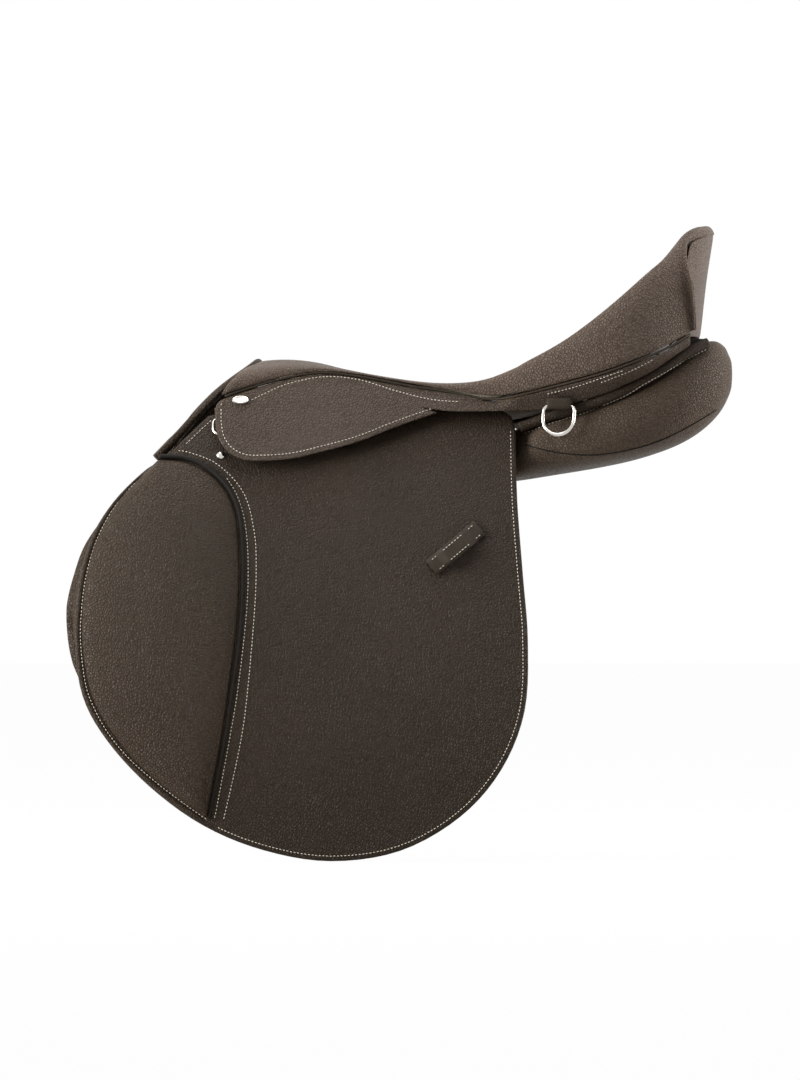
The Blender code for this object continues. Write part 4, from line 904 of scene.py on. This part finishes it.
for side, word in SIDES:
    panel = finish_piece(panel_skins[word], f"panel_leather_{word}", "saddle", PANEL_LEATHER,
                         (f"panel_{word}",), 1)
    skin = skin_of(panel, rolls[word])
    # Painted shade: a dark sheet fills the gap over the welt's rear, where there is only shade.
    bm = bmesh.new()
    posts = []
    for key in SHADE_SHEET_BINS:
        met = key in roll_low and touch(skin, side, key * BIN * MM, roll_low[key] + SHADE_SHEET_LIFT)
        if met:
            foot = met[0] - Vector((0, side * SHADE_SHEET_IN, 0))
            tall = min(SHADE_SHEET_HEIGHT, SHADE_SHEET_CEILING - foot.z) if key > SHADE_SHEET_REAR else SHADE_SHEET_HEIGHT
            posts.append([bm.verts.new(foot + Vector((0, 0, tall * k))) for k in (0, 0.5, 1)])
    for here, ahead in zip(posts, posts[1:]):
        for low, high in ((0, 1), (1, 2)):
            bm.faces.new((here[low], ahead[low], ahead[high], here[high]))
    bmesh.ops.solidify(bm, geom=list(bm.faces), thickness=SHADE_SHEET_THICKNESS)
    finish_piece(bm, f"panel_top_shade_sheet_{word}", "saddle", BINDING_AND_SHADE_LEATHER)
    seam = smooth_through(GUSSET_SEAM, ROW_SPAN)
    bm = skin_cord(skin, side, seam, GUSSET_RADIUS, GUSSET_SINK)
    finish_piece(bm, f"panel_gusset_seam_{word}", "saddle", BINDING_AND_SHADE_LEATHER)
    skin_thread(f"panel_welt_thread_{word}", skin, side, (welt_row,))

# %% [markdown]
# ## Knee pads
# The knee pad is a crowned cushion on the flap's front. Its rear edge drops into a groove
# and a roll of binding, with two rows of thread behind it; the binding's near-black colour is
# partly its own and partly painted shade for the groove.

# %% Knee pads
KNEE_PAD_FRONT = (
    (-227, 8), (-246, -11), (-264, -32), (-283, -70), (-291, -120), (-289, -165), (-277, -205),
    (-246, -247), (-212, -277), (-184, -296),
)
KNEE_PAD_REAR = (
    (-225, 9), (-200, 6), (-174, -9), (-158, -38), (-154, -88), (-156, -135), (-163, -190),
    (-170, -235), (-178, -275), (-182, -295),
)
PAD_BASE, PAD_EDGE, PAD_CROWN = FLAP_THICKNESS + 0.1 * MM, 0.9 * MM, 11.5 * MM
PAD_ROWS, PAD_COLUMNS, PAD_SPAN = 90, 44, 30
PAD_MARGIN, PAD_SWELL = 0.012, 1.6 * MM
CROWN_ALONG, CROWN_ACROSS = 0.42, 0.5
pad_front = smooth_through(KNEE_PAD_FRONT, PAD_SPAN)
pad_rear = smooth_through(KNEE_PAD_REAR, PAD_SPAN)


def share_of(line, share):
    """The point at a share of a line's points."""
    place = share * (len(line) - 1)
    index = min(int(place), len(line) - 2)
    return line[index].lerp(line[index + 1], place - index)


def eased(place):
    """A grid's place, -0.5 to 0.5, as a share from 0 to 1 that crowds towards both ends."""
    return 0.5 - 0.5 * math.cos(math.pi * min(max(place + 0.5, 0.0), 1.0))


def pad_rise(u, v):
    """Crown of the pad: steep at its edges, nearly level in its middle."""
    return (math.sin(math.pi * v) ** CROWN_ACROSS) * (math.sin(math.pi * u) ** CROWN_ALONG)


def knee_pad_skin(side):
    """The closed skin of a pad, and the vertices of its rim and its underside."""
    bm = bmesh.new()
    bmesh.ops.create_grid(bm, x_segments=PAD_ROWS, y_segments=PAD_COLUMNS, size=0.5)
    for vert in bm.verts:
        u, v = eased(vert.co.x), eased(vert.co.y)
        across = PAD_MARGIN + (1 - 2 * PAD_MARGIN) * v
        flat = share_of(pad_front, u).lerp(share_of(pad_rear, u), across)
        vert.co = (flat.x, flat.y, PAD_BASE + PAD_EDGE + PAD_CROWN * pad_rise(u, v))
    rim = [edge for edge in bm.edges if edge.is_boundary]
    down = bmesh.ops.extrude_edge_only(bm, edges=rim)
    low = [item for item in down["geom"] if isinstance(item, bmesh.types.BMVert)]
    for vert in low:
        vert.co.z = PAD_BASE
    held = {vert for edge in rim for vert in edge.verts} | set(low)
    bmesh.ops.holes_fill(bm, edges=[edge for edge in bm.edges if edge.is_boundary])
    lay_over(bm, side)
    bmesh.ops.recalc_face_normals(bm, faces=bm.faces)
    return bm, held


bm, held = knee_pad_skin(LEFT)
swell(bm, PAD_SWELL, held)
pad_skins = {"left": bm, "right": mirrored(bm)}
for word, bm in pad_skins.items():
    pad = finish_piece(bm, f"knee_pad_cushion_{word}", f"flap_body_{word}", PAD_LEATHER,
                       (f"knee_pad_{word}",))
print("knee pad rows and columns:", PAD_ROWS, PAD_COLUMNS)

# %% Binding roll and thread round the knee pads
PAD_ROLL = (
    (-226, 11.5), (-214, 11.7), (-202, 10.4), (-188, 5), (-174, -5.5), (-163, -19), (-155.5, -38),
    (-152.6, -62), (-151.8, -88), (-153.6, -135), (-160.6, -190), (-167.6, -235), (-175.6, -275),
    (-180.5, -298),
)
THREAD_BEHIND_PAD = (
    ((-166.8, -6.3), (-157.4, -22), (-150.6, -44.7), (-147.6, -77.4), (-148.6, -121.3),
     (-155.5, -185.8), (-163.1, -232.2), (-172, -280), (-175.5, -298)),
    ((-209, 17), (-200, 15.6), (-178, 7.2), (-160, -8.3), (-148.8, -26.4), (-142.6, -52.5),
     (-140.6, -77.4), (-141.8, -121.3), (-148.6, -200.4), (-155.5, -244.2), (-168, -300)),
)
THREAD_BEFORE_PAD = (
    (-238, -5), (-247, -12.5), (-262.5, -31), (-273.5, -50), (-281.3, -69.5), (-287.3, -94),
    (-290.2, -118.7), (-291, -146.2), (-286.6, -182.3), (-278.6, -204.4), (-266.6, -225.3),
    (-248.6, -247), (-222.6, -269.4), (-195.8, -289.2), (-182.8, -298),
)
LIFT_BEHIND, LIFT_BEFORE = 0.2 * MM, 0.5 * MM
BINDING_SPAN, BINDING_LIFT = 8, 1.1 * MM
BINDING_WIDTH, BINDING_THINNED, THINNED_AFTER = 2.6 * MM, 1.2 * MM, 60
ROLL_SPAN, ROLL_SHARE, ROLL_SUNK, ROLL_ENDS = 4, 0.52, 0.55, (0.4, 0.8)
ROLL_GAP, ROLL_LEAST = 0.2 * MM, 0.6 * MM


def nearest_on(line, point):
    """The point of a polyline that lies nearest to a point."""
    found = []
    for start, stop in zip(line, line[1:]):
        run = stop - start
        share = min(max((point - start).dot(run) / run.length_squared, 0.0), 1.0)
        found.append(start + run * share)
    return min(found, key=lambda other: (other - point).length)


# The flap's rolled front edge fills the room between the thread before the pad and the edge.
roll_middle, roll_widths = [], []
for point in smooth_through(THREAD_BEFORE_PAD, ROLL_SPAN):
    nearest = nearest_on(flap_edge, point)
    roll_middle.append(point.lerp(nearest, ROLL_SHARE))
    roll_widths.append(max((nearest - point).length / 2 - ROLL_GAP, ROLL_LEAST))
binding_line = smooth_through(PAD_ROLL, BINDING_SPAN)
binding_widths = [BINDING_WIDTH - BINDING_THINNED * min(1.0, i / THINNED_AFTER)
                  for i in range(len(binding_line))]
pad_rows = [(smooth_through(row, ROW_SPAN), FLAP_THICKNESS + lift) for row, lift in (
    *((row, LIFT_BEHIND) for row in THREAD_BEHIND_PAD), (THREAD_BEFORE_PAD, LIFT_BEFORE))]
for side, word in SIDES:
    body = f"flap_body_{word}"
    # The binding roll is partly its own dark colour and partly painted shade for the groove
    # behind the pad.
    points = [on_flank(side, p.x, p.y, FLAP_THICKNESS + BINDING_LIFT) for p in binding_line]
    bm = tube_of_leather(points, 1.0, CORD_ENDS, binding_widths)
    finish_piece(bm, f"knee_pad_binding_and_groove_shade_{word}", body, BINDING_AND_SHADE_LEATHER)
    points = [on_flank(side, p.x, p.y, FLAP_THICKNESS - width * ROLL_SUNK)
              for p, width in zip(roll_middle, roll_widths)]
    bm = tube_of_leather(points, 1.0, ROLL_ENDS, roll_widths)
    finish_piece(bm, f"flap_rolled_edge_{word}", body, PAD_LEATHER)
    flank_thread(f"knee_pad_thread_{word}", body, side, pad_rows)

# %% [markdown]
# ## Girth straps, webs, keepers and chapes
# Straps are flat, with a rounded edge, a stitched border and a row of punched holes, which are
# dark discs of painted shade laid on the strap.

# %% Girth straps with punched holes
STRAPS = (("front", -46 * MM), ("middle", -7 * MM), ("rear", 31 * MM))
STRAP_HALF, STRAP_TOP, STRAP_BOTTOM = 13 * MM, 8.6 * MM, -282 * MM
STRAP_SHOULDER, STRAP_TIP, STRAP_ROUNDING, STRAP_STITCH = 1.6 * MM, 14 * MM, 1.0 * MM, 3 * MM
HOLE_RADIUS, HOLE_PITCH, HOLE_COUNT, HOLE_FIRST = 2.4 * MM, 25 * MM, 9, 30 * MM
HOLE_PROUD, HOLE_DEPTH, HOLE_NARROWED, HOLE_SIDES = 0.05 * MM, 0.3 * MM, 0.8, 20
STRAP_OUTLINE = (
    (0, STRAP_TOP), (-STRAP_HALF, STRAP_TOP - STRAP_SHOULDER),
    (-STRAP_HALF, STRAP_BOTTOM + STRAP_TIP), (-STRAP_HALF / 2, STRAP_BOTTOM),
    (STRAP_HALF / 2, STRAP_BOTTOM), (STRAP_HALF, STRAP_BOTTOM + STRAP_TIP),
    (STRAP_HALF, STRAP_TOP - STRAP_SHOULDER),
)
for side, word in SIDES:
    for label, x in STRAPS:
        body = f"girth_strap_body_{label}_{word}"
        outline = [Vector((x + out, z)) for out, z in STRAP_OUTLINE]
        bm = sheet_of_leather(outline, STRAP_INNER, STRAP_OUTER, STRAP_ROUNDING)
        lay_over(bm, side)
        finish_piece(bm, f"girth_strap_leather_{label}_{word}", body, STRAP_LEATHER,
                     (f"girth_strap_{label}_{word}",))
        # Each hole is a thin dark disc on the strap's face: painted shade, not a cut.
        bm = bmesh.new()
        for index in range(HOLE_COUNT):
            z = STRAP_BOTTOM + HOLE_FIRST + index * HOLE_PITCH
            centre = on_flank(side, x, z, STRAP_OUTER + HOLE_PROUD)
            out = (on_flank(side, x, z, STRAP_OUTER + MM) - centre).normalized()
            place = Matrix.Translation(centre) @ out.to_track_quat("Z", "Y").to_matrix().to_4x4()
            bmesh.ops.create_cone(
                bm, cap_ends=True, segments=HOLE_SIDES, radius1=HOLE_RADIUS,
                radius2=HOLE_RADIUS * HOLE_NARROWED, depth=HOLE_DEPTH, matrix=place)
        finish_piece(bm, f"girth_strap_holes_{label}_{word}", body, HOLE_SHADE_FINISH)
        border = inset(outline[1:], -STRAP_STITCH)
        flank_thread(f"girth_strap_thread_{label}_{word}", body, side, ((border, STRAP_OUTER),))

# %% Webs, keepers and ring chapes
KEEPER_FROM, KEEPER_TO = Vector((50.9, -49.5)) * MM, Vector((10.1, -83.8)) * MM
KEEPER_LIFT, KEEPER_TOP = 5.0 * MM, FLAP_THICKNESS + 2.75 * MM
KEEPER_FLAT = 0.16  # share of the keeper's length that lies flat at each end
KEEPER_ROWS, KEEPER_INSET, KEEPER_STEPS = (-5.2 * MM, 5.2 * MM), 3 * MM, 20
for node, name in (("girth_web_front", "front_web_cloth"), ("girth_web_rear", "rear_web_cloth"),
                   ("seat_webbing", "seat_web_cloth")):
    soft_copy(node, name, WEBBING, 1)
soft_copy("seat_foam", "seat_foam_pad", FOAM, 1)


def keeper_height(share):
    """Top of the keeper at a share of its length: flat ends, raised in the middle."""
    rise = min(max((min(share, 1 - share) - KEEPER_FLAT) / KEEPER_FLAT, 0.0), 1.0)
    return KEEPER_TOP + KEEPER_LIFT * rise * rise * (3 - 2 * rise)


run = (KEEPER_TO - KEEPER_FROM).normalized()
across = Vector((-run.y, run.x))
keeper_rows = []
for offset in KEEPER_ROWS:
    start = KEEPER_FROM + across * offset + run * KEEPER_INSET
    stop = KEEPER_TO + across * offset - run * KEEPER_INSET
    keeper_rows.append((
        [start.lerp(stop, k / KEEPER_STEPS) for k in range(KEEPER_STEPS + 1)],
        lambda p, a=start, n=(stop - start).length: keeper_height((p - a).length / n)))
for side, word in SIDES:
    body = f"flap_body_{word}"
    soft_copy(f"leather_keeper_{word}", f"keeper_leather_{word}", STRAP_LEATHER, body=body)
    flank_thread(f"keeper_thread_{word}", body, side, keeper_rows)
    soft_copy(f"rear_ring_chape_{word}", f"ring_chape_leather_{word}", STRAP_LEATHER,
              crease_over=30)

# %% [markdown]
# ## Metal
# The rings, the oval nail and the stud are nickel plated. The rings start as a round bar
# bent to a D. The nail's badge is left blank: a raised rim round a plain dished face.

# %% Metal pieces and hidden hardware
NAIL_X, NAIL_Z, NAIL_STEP = -155 * MM, 60 * MM, 2 * MM
NAIL_LENGTH, NAIL_HEIGHT, NAIL_STEPS = 14.8 * MM, 8.6 * MM, 40
NAIL_PROFILE = (  # share of the radius, height in millimetres
    (0, 1.3), (0.5, 1.35), (0.66, 1.5), (0.72, 2.1), (0.8, 2.45), (0.9, 2.3), (0.98, 1.6),
    (1.0, 0.9), (1.0, -0.6),
)
for side, word in SIDES:
    for ring in ("rear", "front"):
        soft_copy(f"{ring}_ring_{word}", f"{ring}_d_ring_{word}", NICKEL,
                  body=f"{ring}_ring_body_{word}", crease_over=None)
    skin = skin_of(strips[word])
    here, out = touch(skin, side, NAIL_X, NAIL_Z)
    run = (touch(skin, side, NAIL_X + NAIL_STEP, NAIL_Z)[0] - here).normalized()
    run = (run - out * run.dot(out)).normalized()
    turn = Matrix((run, out.cross(run), out)).transposed().to_4x4()
    turn.translation = here
    bm = bmesh.new()
    corners = [bm.verts.new((radius, 0, height * MM)) for radius, height in NAIL_PROFILE]
    chain = [bm.edges.new(pair) for pair in zip(corners, corners[1:])]
    bmesh.ops.spin(bm, geom=corners + chain, cent=(0, 0, 0), axis=(0, 0, 1), angle=math.tau,
                   steps=NAIL_STEPS, use_merge=True)
    bmesh.ops.remove_doubles(bm, verts=bm.verts, dist=SAME_POINT)
    bmesh.ops.holes_fill(bm, edges=[edge for edge in bm.edges if edge.is_boundary])
    bmesh.ops.scale(bm, vec=(NAIL_LENGTH / 2, NAIL_HEIGHT / 2, 1), verts=bm.verts)
    bmesh.ops.transform(bm, matrix=turn, verts=bm.verts)
    finish_piece(bm, f"oval_nail_{word}", "saddle", NICKEL, (f"saddle_nail_{word}",))
    soft_copy(f"dome_stud_{word}", f"round_stud_{word}", NICKEL, body=f"flap_body_{word}")

CARRIED = {"nickel": NICKEL, "forged_steel": STEEL, "beech_laminate": BEECH}
for node in ("tree", "head_plate", "cantle_plate", "tree_spring_left", "tree_spring_right",
             "stirrup_bar_left", "stirrup_bar_right", "bar_catch_left", "bar_catch_right",
             "front_staple_left", "front_staple_right"):
    slot = next(e["material_slot"] for e in frame["record"]["subparts"] if e["node"] == node)
    for place in frame["nodes"][node].material_slots:
        place.material = CARRIED[slot]
print("hardware finished")
